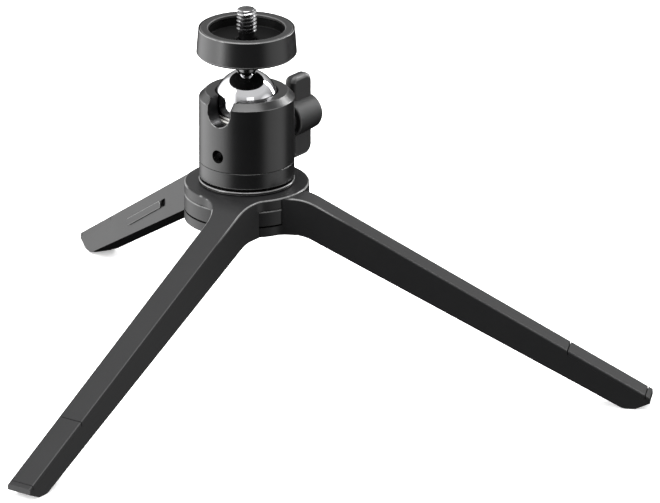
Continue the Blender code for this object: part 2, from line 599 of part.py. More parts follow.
def make_ball(ball_centre, looks):
    bore = STUD_NECK_RADIUS + GAP
    flat = STUD_NECK_RADIUS + 2 * GAP
    top = math.acos(flat / BALL_RADIUS)
    bore_floor = BALL_RADIUS - STUD_IN_BALL - GAP
    ball = arc((0, 0), BALL_RADIUS, -math.pi / 2, top, 20)
    new_object("ball", turned(ball + [(bore, BALL_RADIUS * math.sin(top)), (bore, bore_floor),
                                      (0, bore_floor)]), looks["chrome"], ball_centre)


def make_stud(stem, looks):
    """The 1/4 inch stud. Its plain neck is held in the ball."""
    top = DISC_TOP + STUD_TOP
    relief_top = top - STUD_UPPER_THREAD
    relief_bottom = DISC_FLOOR + THREAD_ABOVE_FLOOR
    thread_bottom = DISC_BOTTOM - STUD_THREAD_BELOW_DISC
    new_object("camera_stud", turned([
        (0, BALL_RADIUS - STUD_IN_BALL), (STUD_NECK_RADIUS, BALL_RADIUS - STUD_IN_BALL),
        (STUD_NECK_RADIUS, thread_bottom), (STUD_RADIUS, thread_bottom + STUD_CHAMFER),
        (STUD_RADIUS, relief_bottom), (STUD_NECK_RADIUS, relief_bottom + STUD_CHAMFER),
        (STUD_NECK_RADIUS, relief_top - STUD_CHAMFER), (STUD_RADIUS, relief_top),
        (STUD_RADIUS, top - STUD_CHAMFER), (STUD_RADIUS - STUD_CHAMFER, top), (0, top)],
        segments=SMALL_SEGMENTS), looks["steel"], stem)


def make_lock_disc(stem, looks):
    """The dished lock disc on the stud and the grip ring on its rim."""
    ring_outer = DISC_TOP_RADIUS - RIM_LIP - GAP
    ring_bottom = DISC_TOP - GRIP_RING_THICKNESS
    groove_floor = ring_bottom - GAP
    new_object("grip_ring", ring(RECESS_RADIUS, ring_outer, ring_bottom, DISC_TOP), looks["rubber"], stem)
    disc = [(STUD_RADIUS + GAP, DISC_BOTTOM), (DISC_BOTTOM_RADIUS - DISC_CHAMFER, DISC_BOTTOM),
            (DISC_BOTTOM_RADIUS, DISC_BOTTOM + DISC_CHAMFER),
            (DISC_TOP_RADIUS, DISC_TOP - GAP), (DISC_TOP_RADIUS - GAP, DISC_TOP),
            (ring_outer + GAP, DISC_TOP), (ring_outer + GAP, groove_floor),
            (RECESS_RADIUS, groove_floor), (RECESS_RADIUS, DISC_FLOOR),
            (STUD_RADIUS + GAP, DISC_FLOOR)]
    new_object("lock_disc", turned(disc, True), looks["metal"], empty("lock_disc_axis", stem))


def centre_on_origin(axis):
    """Move the whole tripod so that its bounding box stands centred on the origin."""
    bpy.context.view_layer.update()
    graph = bpy.context.evaluated_depsgraph_get()
    corners = []
    for piece in bpy.data.objects:
        if piece.type == "MESH" and not piece.hide_render:
            solid = piece.evaluated_get(graph)
            corners += [solid.matrix_world @ vert.co for vert in solid.data.vertices]
    for i in range(2):
        axis.location[i] -= (min(c[i] for c in corners) + max(c[i] for c in corners)) / 2


def main():
    for old in list(bpy.data.objects):
        bpy.data.objects.remove(old)
    looks = {
        "leg": material("leg plastic", (0.018, 0.018, 0.019), 0.48),
        "plastic": material("knob plastic", (0.022, 0.022, 0.023), 0.42),
        "metal": material("black anodised metal", (0.012, 0.012, 0.013), 0.33, 0.6),
        "rubber": material("rubber", (0.015, 0.015, 0.015), 0.75),
        "steel": material("steel", (0.62, 0.62, 0.63), 0.28, 1.0),
        "chrome": material("polished chrome", (0.8, 0.8, 0.82), 0.05, 1.0),
        "brass": material("brass", (0.72, 0.55, 0.27), 0.3, 1.0),
        "nylon": material("nylon", (0.75, 0.74, 0.70), 0.5),
    }
    axis = empty("hub_axis")
    front = empty("front_leg_axis", axis, rotation=(0, 0, FRONT_AZIMUTH))
    right = empty("right_leg_axis", axis, rotation=(0, 0, RIGHT_AZIMUTH))
    back = empty("back_leg_axis", axis, rotation=(0, 0, BACK_AZIMUTH))
    make_leg("front", 1, front, looks)
    make_leg("right", -1, right, looks)
    back_leg = make_leg("back", 0, back, looks)
    add_stop_rib(back_leg)
    make_hub_hardware(axis, back_leg, looks)
    make_head_base(axis, looks)

    pan = empty("pan_axis", axis)
    make_housing(pan, looks)
    make_seat(pan, looks)
    make_knob(empty("lock_axis", pan, (0, 0, LOCK_AXIS_Z), (-math.pi / 2, 0, 0)), looks)
    ball_centre = empty("ball_centre", pan, (0, 0, BALL_Z))
    make_ball(ball_centre, looks)
    stem = empty("stem_axis", ball_centre)
    make_stud(stem, looks)
    make_lock_disc(stem, looks)
    centre_on_origin(axis)


main()
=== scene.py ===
"""Mini table-top tripod with a ball head: the shapes and finishes that are seen.

Every size and place comes from the fixed frame, in metres, with +Z up. The legs,
head, knob, ball, camera screw and lock disc are modelled over their frame nodes;
the parts inside keep the frame's own shapes and only get their finish here.
"""

import json
import math

import bmesh
import bpy
from bpy.props import FloatProperty, FloatVectorProperty, PointerProperty
from bpy.types import Operator, Panel, PropertyGroup
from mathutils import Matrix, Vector


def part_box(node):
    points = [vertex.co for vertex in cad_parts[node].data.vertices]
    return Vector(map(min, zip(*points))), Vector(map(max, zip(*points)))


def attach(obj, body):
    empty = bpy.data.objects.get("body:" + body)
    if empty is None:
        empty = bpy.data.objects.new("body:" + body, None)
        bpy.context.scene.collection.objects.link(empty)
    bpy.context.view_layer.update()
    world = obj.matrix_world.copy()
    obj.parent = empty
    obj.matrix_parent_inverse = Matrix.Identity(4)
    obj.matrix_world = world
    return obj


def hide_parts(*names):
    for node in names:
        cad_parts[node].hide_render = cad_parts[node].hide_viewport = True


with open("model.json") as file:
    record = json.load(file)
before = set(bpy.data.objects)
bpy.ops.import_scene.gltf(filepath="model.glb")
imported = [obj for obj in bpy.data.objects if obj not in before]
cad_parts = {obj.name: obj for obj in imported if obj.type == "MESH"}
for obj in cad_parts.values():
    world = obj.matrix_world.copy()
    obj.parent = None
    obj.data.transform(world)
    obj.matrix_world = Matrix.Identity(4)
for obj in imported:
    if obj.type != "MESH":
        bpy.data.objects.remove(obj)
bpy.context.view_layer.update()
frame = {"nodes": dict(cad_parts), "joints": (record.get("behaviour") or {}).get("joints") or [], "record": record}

bl_info = {
    "name": "Mini table-top tripod",
    "version": (1, 0, 0),
    "blender": (4, 5, 0),
    "location": "3D View > Sidebar > Tripod",
    "description": "Models the legs, ball head, wing knob, camera screw and lock disc of a mini tripod",
    "category": "Object",
}

MM = 0.001
GAP = 0.3 * MM                      # room between neighbouring pieces of the frame


# ---------------------------------------------------------------- places read from the frame

def joint_place(name):
    """A joint's point at rest."""
    for joint in frame["joints"]:
        if joint["name"] == name:
            return Vector(joint["pos_m"])
    raise RuntimeError(f"the frame has no joint named {name}")


HUB = joint_place("head_pan")
HUB = Vector((HUB.x, HUB.y, 0.0))
BALL_CENTRE = joint_place("ball_tilt")
LOCK_AXIS_Z = joint_place("knob_turn").z


def box_radius(node):
    """Half the width of a round piece's box."""
    low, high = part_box(node)
    return (high.x - low.x) / 2


FRONT_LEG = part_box("leg_front")
HUB_RADIUS = FRONT_LEG[1].y - HUB.y
LEG_REACH = HUB.y - FRONT_LEG[0].y
HUB_TOP = FRONT_LEG[1].z
MIDDLE_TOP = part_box("leg_back")[1].z
TOP_DISC_UNDER = MIDDLE_TOP + GAP
BOTTOM_DISC_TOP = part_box("lower_friction_washer")[0].z - GAP
MIDDLE_UNDER = BOTTOM_DISC_TOP + 2 * GAP
HUB_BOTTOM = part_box("bolt_washer")[1].z + GAP
FOOT_LEVEL = FRONT_LEG[0].z
BOLT_HOLE = 3.3 * MM                # radius of the upright bolt's hole
SCREW_HOLE = 2.3 * MM               # radius of the clamping screw's hole
WASHER_ROOM = box_radius("upper_friction_washer") + GAP
COVER_START = HUB.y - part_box("toe_cover_front")[1].y
COVER_END = HUB.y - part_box("toe_cover_front")[0].y
FRONT_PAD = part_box("foot_pad_front")
PAD_START, PAD_END = HUB.y - FRONT_PAD[1].y, HUB.y - FRONT_PAD[0].y
PAD_HALF_WIDTH = box_radius("foot_pad_front")
PAD_TOP = FRONT_PAD[1].z
LEG_PITCH = (FRONT_PAD[1].x + FRONT_PAD[0].x) / 2 - HUB.x      # from the hub's axis to an outer leg's middle

HEAD_RADIUS = box_radius("housing")
HOUSING_BOTTOM, HOUSING_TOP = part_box("housing")[0].z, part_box("housing")[1].z
BALL_RADIUS = box_radius("ball")
DISC_BOTTOM, DISC_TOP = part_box("lock_disc")[0].z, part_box("lock_disc")[1].z
DISC_BOTTOM_RADIUS = box_radius("lock_disc")
RING_OUTER = box_radius("grip_ring")
RING_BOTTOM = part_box("grip_ring")[0].z
STUD_RADIUS = box_radius("camera_stud")
STUD_BOTTOM, STUD_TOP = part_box("camera_stud")[0].z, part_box("camera_stud")[1].z
KNOB_START, KNOB_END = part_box("wing_knob")[0].y - HUB.y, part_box("wing_knob")[1].y - HUB.y
WING_HALF_SPAN = (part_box("wing_knob")[1].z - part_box("wing_knob")[0].z) / 2

# name of each leg, the side its strip stands off the hub's axis, and its direction seen from above
LEGS = (("front", 1, math.radians(270)), ("right", -1, math.radians(30)), ("back", 0, math.radians(150)))
INNER_GUSSET, OUTER_GUSSET = 9.5 * MM, 6 * MM       # roundings between an outer leg and its hub disc
UNDER_LEAD = 0.2 * MM               # how far past the hub disc the underside starts to fall
COVER_DEPTH = 1.5 * MM              # depth of the toe cover's recess
SEAM_INNER = 11.5 * MM              # radius of the head base inside the pan seam
SPIGOT_RADIUS = 9.5 * MM            # radius of the head base inside the housing
SPIGOT_STEP = 1.3 * MM              # height of the step up to it
GROOVE_WIDTH = 2.2 * MM             # width of the pan washer's groove
HOUSING_BORE = 11.8 * MM            # radius of the housing at its foot
COLLAR_RADIUS = 4.6 * MM            # radius of the knob's collar

CAMERA_AZIMUTH = 37.46              # degrees round from -Y
CAMERA_ELEVATION = 20.39            # degrees above the floor
CAMERA_DISTANCE = 7.0

HUB_STEPS = 128                     # sides of the large round pieces
SMALL_STEPS = 64                    # sides of the small ones


# ---------------------------------------------------------------- sizes and colours a user may change

def length(name, description, default):
    """A length in metres that shows in the panel."""
    return FloatProperty(name=name, description=description, default=default, unit="LENGTH",
                         subtype="DISTANCE", precision=5, min=0.0)


def colour(name, description, default):
    """A colour that shows in the panel."""
    return FloatVectorProperty(name=name, description=description, default=default, size=3,
                               subtype="COLOR", min=0.0, max=1.0)


class LegSizes(PropertyGroup):
    width: length("Width", "Width of a leg at the hub", 9.1 * MM)
    tip_width: length("Tip width", "Width of a leg at its tip", 8.9 * MM)
    taper_start: length("Taper start", "Distance from the hub's axis where the taper starts", 35 * MM)
    top_slope: FloatProperty(name="Top slope", description="Fall of a leg's top", default=math.radians(29.3),
                             subtype="ANGLE")
    under_slope: FloatProperty(name="Under slope", description="Fall of a leg's underside",
                               default=math.radians(27.7), subtype="ANGLE")
    top_round: length("Top edge", "Rounding of a leg's top edges", 0.5 * MM)
    under_round: length("Under edge", "Rounding of a leg's lower edges", 0.35 * MM)
    seam_round: length("Seam edge", "Rounding of the hub discs at their seams", 0.22 * MM)
    rib_start: length("Rib start", "Distance from the hub's axis to the back leg's rib", 60.5 * MM)
    rib_length: length("Rib length", "Length of the back leg's rib", 28 * MM)
    rib_height: length("Rib height", "Height of the back leg's rib", 2.6 * MM)
    rib_depth: length("Rib depth", "How far the rib stands out", 0.6 * MM)


class HeadSizes(PropertyGroup):
    chamfer: length("Top chamfer", "Chamfer round the housing's mouth", 2.0 * MM)
    notch_width: length("Notch width", "Width of the side notch", 8.8 * MM)
    notch_edge: length("Notch edge", "Rounding of the notch's edges", 0.25 * MM)
    notch_drop: length("Notch drop", "How far the notch's round end is centred below the ball", 0.6 * MM)
    tap_radius: length("Cross hole radius", "Radius of the small cross hole", 2.15 * MM)
    tap_drop: length("Cross hole drop", "How far the cross hole lies below the clamping screw", 2.3 * MM)
    seam_chamfer: length("Seam chamfer", "Chamfer at the pan seam", 0.08 * MM)
    seam_gap: length("Seam gap", "Height of the pan seam", 0.1 * MM)


class DiscSizes(PropertyGroup):
    recess_radius: length("Recess radius", "Radius of the dish in the lock disc", 12.15 * MM)
    recess_depth: length("Recess depth", "Depth of the dish in the lock disc", 3.8 * MM)
    top_radius: length("Top radius", "Radius of the lock disc at its rim", 15.25 * MM)
    thread_pitch: length("Thread pitch", "Pitch of the camera screw's thread", 1.27 * MM)
    root_radius: length("Thread root", "Radius at the root of the thread", 2.5 * MM)


class KnobSizes(PropertyGroup):
    inner_radius: length("Inner radius", "Radius of the knob's barrel at its inner end", 6.2 * MM)
    outer_radius: length("Outer radius", "Radius of the knob's barrel at its outer end", 5.8 * MM)
    wing_thickness: length("Wing thickness", "Thickness of the two wings", 4 * MM)
    wing_start: length("Wing start", "Distance of the wings from the barrel's inner end", 1.5 * MM)
    wing_length: length("Wing length", "Length of the wings along the barrel", 9.9 * MM)


class Colours(PropertyGroup):
    plastic: colour("Leg plastic", "Black plastic of the legs", (0.010, 0.010, 0.0104))
    knob: colour("Knob plastic", "Black plastic of the wing knob", (0.010, 0.010, 0.0104))
    metal: colour("Black metal", "Satin black of the head and the lock disc", (0.006, 0.006, 0.0063))
    # Painted shade: the recess colour is a darker black laid inside the lock disc's dish.
    recess: colour("Recess", "Dead black inside the lock disc", (0.004, 0.004, 0.004))
    rubber: colour("Rubber", "Black rubber of the rim and the feet", (0.012, 0.012, 0.012))
    steel: colour("Steel", "Turned steel of the screws", (0.62, 0.62, 0.63))
    chrome: colour("Chrome", "Polished ball", (0.80, 0.80, 0.82))
    brass: colour("Brass", "Pressure pad", (0.72, 0.55, 0.27))
    nylon: colour("Nylon", "Washers and ball cup", (0.75, 0.74, 0.70))
    floor: colour("Floor", "Pale floor under the tripod", (0.90, 0.90, 0.90))


# ---------------------------------------------------------------- outlines

def arc(centre, radius, start, end, steps):
    """Points on a circle from one angle to another, both ends included."""
    angles = [start + (end - start) * i / steps for i in range(steps + 1)]
    return [(centre[0] + radius * math.cos(a), centre[1] + radius * math.sin(a)) for a in angles]


def rounded(corners, steps=6, closed=True):
    """An outline from (x, y, radius) corners, each corner turned into an arc."""
    outline = []
    last = len(corners) - 1
    for i, (x, y, radius) in enumerate(corners):
        here = Vector((x, y))
        if radius <= 0 or (not closed and i in (0, last)):
            outline.append((x, y))
            continue
        before = Vector(corners[i - 1][:2]) - here
        after = Vector(corners[(i + 1) % len(corners)][:2]) - here
        half = before.angle(after) / 2
        centre = here + (before.normalized() + after.normalized()).normalized() * (radius / math.sin(half))
        reach = radius / math.tan(half)
        first = here + before.normalized() * reach - centre
        final = here + after.normalized() * reach - centre
        start = math.atan2(first.y, first.x)
        turn = math.remainder(math.atan2(final.y, final.x) - start, math.tau)
        outline += arc(centre, radius, start, start + turn, steps)
    return outline


# ---------------------------------------------------------------- modelling steps

def rest_all():
    """Back to object mode with nothing selected."""
    if bpy.context.mode != "OBJECT":
        bpy.ops.object.mode_set(mode="OBJECT")
    bpy.ops.object.select_all(action="DESELECT")


def choose(piece):
    """Make one piece the active and only selected one."""
    rest_all()
    bpy.context.view_layer.objects.active = piece
    piece.select_set(True)


def draw(name, points):
    """Draw a line of vertices from point to point; left in edit mode."""
    rest_all()
    bpy.ops.mesh.primitive_plane_add(size=MM, location=(0, 0, 0))
    piece = bpy.context.object
    piece.name = name
    piece.data.name = name
    bpy.ops.object.mode_set(mode="EDIT")
    bpy.ops.mesh.select_mode(type="VERT")
    bpy.ops.mesh.select_all(action="SELECT")
    bpy.ops.mesh.merge(type="CENTER")
    bpy.ops.transform.translate(value=points[0])
    for here, there in zip(points, points[1:]):
        step = Vector(there) - Vector(here)
        bpy.ops.mesh.extrude_vertices_move(TRANSFORM_OT_translate={"value": step})
    bpy.ops.mesh.select_all(action="SELECT")
    return piece


def slab(name, points, travel):
    """Fill an outline and draw it out into a solid."""
    piece = draw(name, points)
    bpy.ops.mesh.edge_face_add()
    bpy.ops.mesh.extrude_region_move(TRANSFORM_OT_translate={"value": travel})
    bpy.ops.mesh.select_all(action="SELECT")
    bpy.ops.mesh.normals_make_consistent(inside=False)
    bpy.ops.object.mode_set(mode="OBJECT")
    return piece


def spun(name, profile, closed=False, steps=HUB_STEPS):
    """Spin a profile of (radius, height) points round the Z axis."""
    piece = draw(name, [(radius, 0, height) for radius, height in profile])
    if closed:
        bpy.ops.mesh.edge_face_add()
        bpy.ops.mesh.delete(type="ONLY_FACE")
        bpy.ops.mesh.select_all(action="SELECT")
    bpy.ops.mesh.spin(steps=steps, angle=math.tau, center=(0, 0, 0), axis=(0, 0, 1))
    bpy.ops.mesh.select_all(action="SELECT")
    bpy.ops.mesh.remove_doubles(threshold=1e-6)
    bpy.ops.mesh.normals_make_consistent(inside=False)
    bpy.ops.object.mode_set(mode="OBJECT")
    return piece


def rod(name, radius, low, high, steps=SMALL_STEPS):
    """A plain cylinder round the Z axis."""
    return spun(name, [(0, low), (radius, low), (radius, high), (0, high)], steps=steps)


def place(piece, location=(0, 0, 0), turn=(0, 0, 0)):
    """Turn and move a piece, and put that into its mesh."""
    choose(piece)
    piece.rotation_euler = turn
    piece.location = location
    bpy.ops.object.transform_apply(location=True, rotation=True, scale=True)
    return piece


def shape_with(piece, tool, operation="DIFFERENCE"):
    """Cut, join or meet a piece with another, which is used up."""
    choose(piece)
    step = piece.modifiers.new(operation.lower(), "BOOLEAN")
    step.object = tool
    step.operation = operation
    step.solver = "EXACT"
    bpy.ops.object.modifier_apply(modifier=step.name)
    bpy.data.objects.remove(tool)
    return piece


def merge_near(piece, distance):
    """Merge vertices that lie nearly on one another, so that the edges can be rounded evenly."""
    choose(piece)
    bpy.ops.object.mode_set(mode="EDIT")
    bpy.ops.mesh.select_all(action="SELECT")
    bpy.ops.mesh.remove_doubles(threshold=distance)
    bpy.ops.mesh.dissolve_degenerate(threshold=1e-6)
    bpy.ops.object.mode_set(mode="OBJECT")
    return piece


def round_edges(piece, width, segments, wanted, sharper_than=30.0, clamp=True):
    """Bevel the sharp edges whose middle point passes the test."""
    choose(piece)
    bpy.ops.object.mode_set(mode="EDIT")
    bpy.ops.mesh.select_mode(type="EDGE")
    bpy.ops.mesh.select_all(action="DESELECT")
    shape = bmesh.from_edit_mesh(piece.data)
    limit = math.radians(sharper_than)
    chosen = 0
    for edge in shape.edges:
        if len(edge.link_faces) == 2 and edge.calc_face_angle() > limit:
            if wanted((edge.verts[0].co + edge.verts[1].co) / 2):
                edge.select_set(True)
                chosen += 1
    bmesh.update_edit_mesh(piece.data)
    if not chosen:
        raise RuntimeError(f"{piece.name} has no edge to round here")
    bpy.ops.mesh.bevel(offset=width, segments=segments, affect="EDGES", clamp_overlap=clamp)
    bpy.ops.object.mode_set(mode="OBJECT")
    return piece


def note_edges(piece):
    """Mark the vertices along the rounded edges, for the edge wear and the painted highlight along the edges."""
    shape = bmesh.new()
    shape.from_mesh(piece.data)
    turns = {}
    for vert in shape.verts:
        angles = [edge.calc_face_angle(0.0) for edge in vert.link_edges if len(edge.link_faces) == 2]
        turns[vert] = max(angles, default=0.0)
    marks = []
    for vert in shape.verts:
        around = max((turns[edge.other_vert(vert)] for edge in vert.link_edges), default=0.0)
        rounding = math.radians(6) < turns[vert] < math.radians(40)
        marks.append(1.0 if rounding and turns[vert] > 0.75 * around else 0.0)
    shape.free()
    noted = piece.data.attributes.new("edge", "FLOAT", "POINT")
    noted.data.foreach_set("value", marks)


def finish_piece(piece, body, nodes, look, angle=32.0):
    """Shade a piece, give it its material and tie it to the frame."""
    note_edges(piece)
    choose(piece)
    bpy.ops.object.shade_smooth_by_angle(angle=math.radians(angle))
    even = piece.modifiers.new("even_normals", "WEIGHTED_NORMAL")
    even.keep_sharp = True
    bpy.ops.object.modifier_apply(modifier=even.name)
    piece.data.materials.clear()
    piece.data.materials.append(look)
    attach(piece, body)
    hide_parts(*nodes)
    rest_all()


# ---------------------------------------------------------------- surface effects

def new_group(name, inputs, outputs):
    """A shader node group with its sockets, and its input and output nodes."""
    group = bpy.data.node_groups.new(name, "ShaderNodeTree")
    for label, kind, default in inputs:
        socket = group.interface.new_socket(label, in_out="INPUT", socket_type=kind)
        if default is not None:
            socket.default_value = default
    for label, kind in outputs:
        group.interface.new_socket(label, in_out="OUTPUT", socket_type=kind)
    return group, group.nodes.new("NodeGroupInput"), group.nodes.new("NodeGroupOutput")


def add_node(tree, kind, values=None, **settings):
    """A node with its settings and the values of its inputs."""
    node = tree.nodes.new(kind)
    for key, value in settings.items():
        setattr(node, key, value)
    for key, value in (values or {}).items():
        node.inputs[key].default_value = value
    return node


def maths(tree, operation, first, second):
    """A Math node; each side is a number or an output socket."""
    node = tree.nodes.new("ShaderNodeMath")
    node.operation = operation
    for socket, value in zip(node.inputs, (first, second)):
        if isinstance(value, (int, float)):
            socket.default_value = value
        else:
            tree.links.new(value, socket)
    return node.outputs[0]


def fine_grain():
    """Moulded or sprayed grain: a fine height, and a soft mottle from 0 to 1."""
    group, inward, outward = new_group(
        "Fine grain",
        [("Vector", "NodeSocketVector", None), ("Grains per Metre", "NodeSocketFloat", 2600.0)],
        [("Height", "NodeSocketFloat"), ("Mottle", "NodeSocketFloat")])
    fine = add_node(group, "ShaderNodeTexNoise", {"Detail": 3.0, "Roughness": 0.55})
    cells = add_node(group, "ShaderNodeTexVoronoi")
    broad = add_node(group, "ShaderNodeTexNoise", {"Scale": 160.0, "Detail": 4.0})
    for node in (fine, cells, broad):
        group.links.new(inward.outputs["Vector"], node.inputs["Vector"])
    group.links.new(inward.outputs["Grains per Metre"], fine.inputs["Scale"])
    group.links.new(inward.outputs["Grains per Metre"], cells.inputs["Scale"])
    height = maths(group, "ADD", fine.outputs["Fac"], maths(group, "MULTIPLY", cells.outputs["Distance"], 0.6))
    group.links.new(height, outward.inputs["Height"])
    group.links.new(broad.outputs["Fac"], outward.inputs["Mottle"])
    return group


def turned_lines():
    """Fine rings left by a lathe round the Z axis of the vector: a height, and a sheen from 0 to 1."""
    group, inward, outward = new_group(
        "Turned lines",
        [("Vector", "NodeSocketVector", None), ("Lines per Metre", "NodeSocketFloat", 5000.0)],
        [("Height", "NodeSocketFloat"), ("Sheen", "NodeSocketFloat")])
    split = add_node(group, "ShaderNodeSeparateXYZ")
    group.links.new(inward.outputs["Vector"], split.inputs[0])
    across = maths(group, "MULTIPLY", split.outputs["X"], split.outputs["X"])
    along = maths(group, "MULTIPLY", split.outputs["Y"], split.outputs["Y"])
    radius = maths(group, "SQRT", maths(group, "ADD", across, along), 0.0)
    joined = add_node(group, "ShaderNodeCombineXYZ")
    lines = inward.outputs["Lines per Metre"]
    group.links.new(maths(group, "MULTIPLY", radius, lines), joined.inputs["X"])
    group.links.new(maths(group, "MULTIPLY", split.outputs["Z"], lines), joined.inputs["Y"])
    rings = add_node(group, "ShaderNodeTexNoise", {"Scale": 1.0, "Detail": 2.0}, noise_dimensions="2D")
    bands = add_node(group, "ShaderNodeTexNoise", {"Scale": 0.12, "Detail": 2.0}, noise_dimensions="2D")
    for node in (rings, bands):
        group.links.new(joined.outputs[0], node.inputs["Vector"])
    group.links.new(rings.outputs["Fac"], outward.inputs["Height"])
    group.links.new(bands.outputs["Fac"], outward.inputs["Sheen"])
    return group


def scuff_and_highlight_edges():
    """A mask from 0 to 1 along the edges noted in the mesh, broken up by noise; it paints a lighter colour there,
    part edge wear and part painted highlight.
    """
    group, inward, outward = new_group(
        "Scuffed and highlit edges",
        [("Vector", "NodeSocketVector", None), ("Amount", "NodeSocketFloat", 0.5)],
        [("Mask", "NodeSocketFloat")])
    edge = add_node(group, "ShaderNodeAttribute", attribute_name="edge")
    patches = add_node(group, "ShaderNodeTexNoise", {"Scale": 420.0, "Detail": 5.0, "Roughness": 0.6})
    group.links.new(inward.outputs["Vector"], patches.inputs["Vector"])
    soft = add_node(group, "ShaderNodeMapRange", {"From Min": 0.2, "From Max": 0.5, "To Min": 0.35})
    group.links.new(patches.outputs["Fac"], soft.inputs["Value"])
    scuffed_and_lit = maths(group, "MULTIPLY", edge.outputs["Fac"], soft.outputs["Result"])
    group.links.new(maths(group, "MULTIPLY", scuffed_and_lit, inward.outputs["Amount"]), outward.inputs["Mask"])
    return group


def handling():
    """Broad smudges and sparse dust specks, each from 0 to 1."""
    group, inward, outward = new_group(
        "Handling",
        [("Vector", "NodeSocketVector", None)],
        [("Smudge", "NodeSocketFloat"), ("Dust", "NodeSocketFloat")])
    smudge = add_node(group, "ShaderNodeTexNoise", {"Scale": 70.0, "Detail": 3.0, "Distortion": 0.8})
    specks = add_node(group, "ShaderNodeTexVoronoi", {"Scale": 900.0})
    group.links.new(inward.outputs["Vector"], smudge.inputs["Vector"])
    group.links.new(inward.outputs["Vector"], specks.inputs["Vector"])
    near = add_node(group, "ShaderNodeMapRange", {"From Min": 0.08, "From Max": 0.03})
    group.links.new(specks.outputs["Distance"], near.inputs["Value"])
    group.links.new(smudge.outputs["Fac"], outward.inputs["Smudge"])
    group.links.new(near.outputs["Result"], outward.inputs["Dust"])
    return group


def effect(name):
    """One of the shared effects, made the first time it is asked for."""
    makers = {"Fine grain": fine_grain, "Turned lines": turned_lines, "Scuffed and highlit edges": scuff_and_highlight_edges,
              "Handling": handling}
    return bpy.data.node_groups.get(name) or makers[name]()


def surface(name, base, roughness, metallic=0.0, specular=0.5, coat=0.0, grain=None, lines=None,
            edge_scuff_and_highlight=(0.4, (0.10, 0.10, 0.10)), spread=0.03, mottle=0.06, dust=0.1, turn=(0, 0, 0),
            centre=None):
    """A material built from the shared effects.

    grain is (grains per metre, height), lines is (lines per metre, height), and the edge argument is
    (amount, colour painted along the rounded edges, part wear and part painted highlight). centre and turn put the
    lathe's axis on the vector's Z.
    """
    made = bpy.data.materials.get(name)
    if made:
        return made
    made = bpy.data.materials.new(name)
    made.use_nodes = True
    tree = made.node_tree
    shader = tree.nodes["Principled BSDF"]
    shader.inputs["Metallic"].default_value = metallic
    shader.inputs["Specular IOR Level"].default_value = specular
    shader.inputs["Coat Weight"].default_value = coat
    shader.inputs["Coat Roughness"].default_value = 0.12
    where = add_node(tree, "ShaderNodeTexCoord").outputs["Object"]

    scuffed_and_lit = add_node(tree, "ShaderNodeGroup", node_tree=effect("Scuffed and highlit edges"), values={"Amount": edge_scuff_and_highlight[0]})
    touched = add_node(tree, "ShaderNodeGroup", node_tree=effect("Handling"))
    grained = add_node(tree, "ShaderNodeGroup", node_tree=effect("Fine grain"),
                       values={"Grains per Metre": grain[0] if grain else 2600.0})
    for node in (scuffed_and_lit, touched, grained):
        tree.links.new(where, node.inputs["Vector"])

    tone = add_node(tree, "ShaderNodeMix", data_type="RGBA")
    tone.inputs["A"].default_value = (*(c * (1 - mottle) for c in base), 1)
    tone.inputs["B"].default_value = (*(min(1.0, c * (1 + mottle)) for c in base), 1)
    tree.links.new(grained.outputs["Mottle"], tone.inputs["Factor"])
    # Painted highlight and wear: the lighter edge colour is mixed in along the rounded edges.
    scuff_highlight_mix = add_node(tree, "ShaderNodeMix", data_type="RGBA")
    scuff_highlight_mix.inputs["B"].default_value = (*edge_scuff_and_highlight[1], 1)
    tree.links.new(tone.outputs["Result"], scuff_highlight_mix.inputs["A"])
    tree.links.new(scuffed_and_lit.outputs["Mask"], scuff_highlight_mix.inputs["Factor"])
    dusted = add_node(tree, "ShaderNodeMix", data_type="RGBA")
    dusted.inputs["B"].default_value = (0.25, 0.25, 0.25, 1)
    tree.links.new(scuff_highlight_mix.outputs["Result"], dusted.inputs["A"])
    tree.links.new(maths(tree, "MULTIPLY", touched.outputs["Dust"], dust * 0.3), dusted.inputs["Factor"])
    tree.links.new(dusted.outputs["Result"], shader.inputs["Base Color"])

    smudged = maths(tree, "MULTIPLY", maths(tree, "SUBTRACT", touched.outputs["Smudge"], 0.5), spread * 2)
    rough = maths(tree, "ADD", smudged, roughness)
    rough = maths(tree, "SUBTRACT", rough, maths(tree, "MULTIPLY", scuffed_and_lit.outputs["Mask"], 0.12))

    height, depth = None, 0.0
    if grain:
        height, depth = grained.outputs["Height"], grain[1]
    if lines:
        shifted = add_node(tree, "ShaderNodeMapping", vector_type="TEXTURE")
        shifted.inputs["Location"].default_value = centre if centre is not None else HUB
        shifted.inputs["Rotation"].default_value = turn
        tree.links.new(where, shifted.inputs["Vector"])
        turned = add_node(tree, "ShaderNodeGroup", node_tree=effect("Turned lines"),
                          values={"Lines per Metre": lines[0]})
        tree.links.new(shifted.outputs["Vector"], turned.inputs["Vector"])
        sheen = maths(tree, "MULTIPLY", maths(tree, "SUBTRACT", turned.outputs["Sheen"], 0.5), spread)
        rough = maths(tree, "ADD", rough, sheen)
        if height is None:
            height, depth = turned.outputs["Height"], lines[1]
        else:
            height = maths(tree, "ADD", height, maths(tree, "MULTIPLY", turned.outputs["Height"],
                                                      lines[1] / depth))
    tree.links.new(rough, shader.inputs["Roughness"])
    if height is not None:
        bump = add_node(tree, "ShaderNodeBump", {"Strength": 1.0, "Distance": depth})
        tree.links.new(height, bump.inputs["Height"])
        tree.links.new(bump.outputs["Normal"], shader.inputs["Normal"])
    return made


# In each finish below, the edge colour is painted along the rounded edges: part wear, part painted highlight.
def leg_look():
    tint = bpy.context.scene.tripod_colours
    return surface("leg plastic", tint.plastic, 0.4, specular=0.3, grain=(2400.0, 0.008 * MM),
                   edge_scuff_and_highlight=(0.7, (0.20, 0.20, 0.20)))


def knob_look():
    tint = bpy.context.scene.tripod_colours
    return surface("knob plastic", tint.knob, 0.48, specular=0.3, grain=(2600.0, 0.012 * MM),
                   edge_scuff_and_highlight=(0.6, (0.12, 0.12, 0.12)))


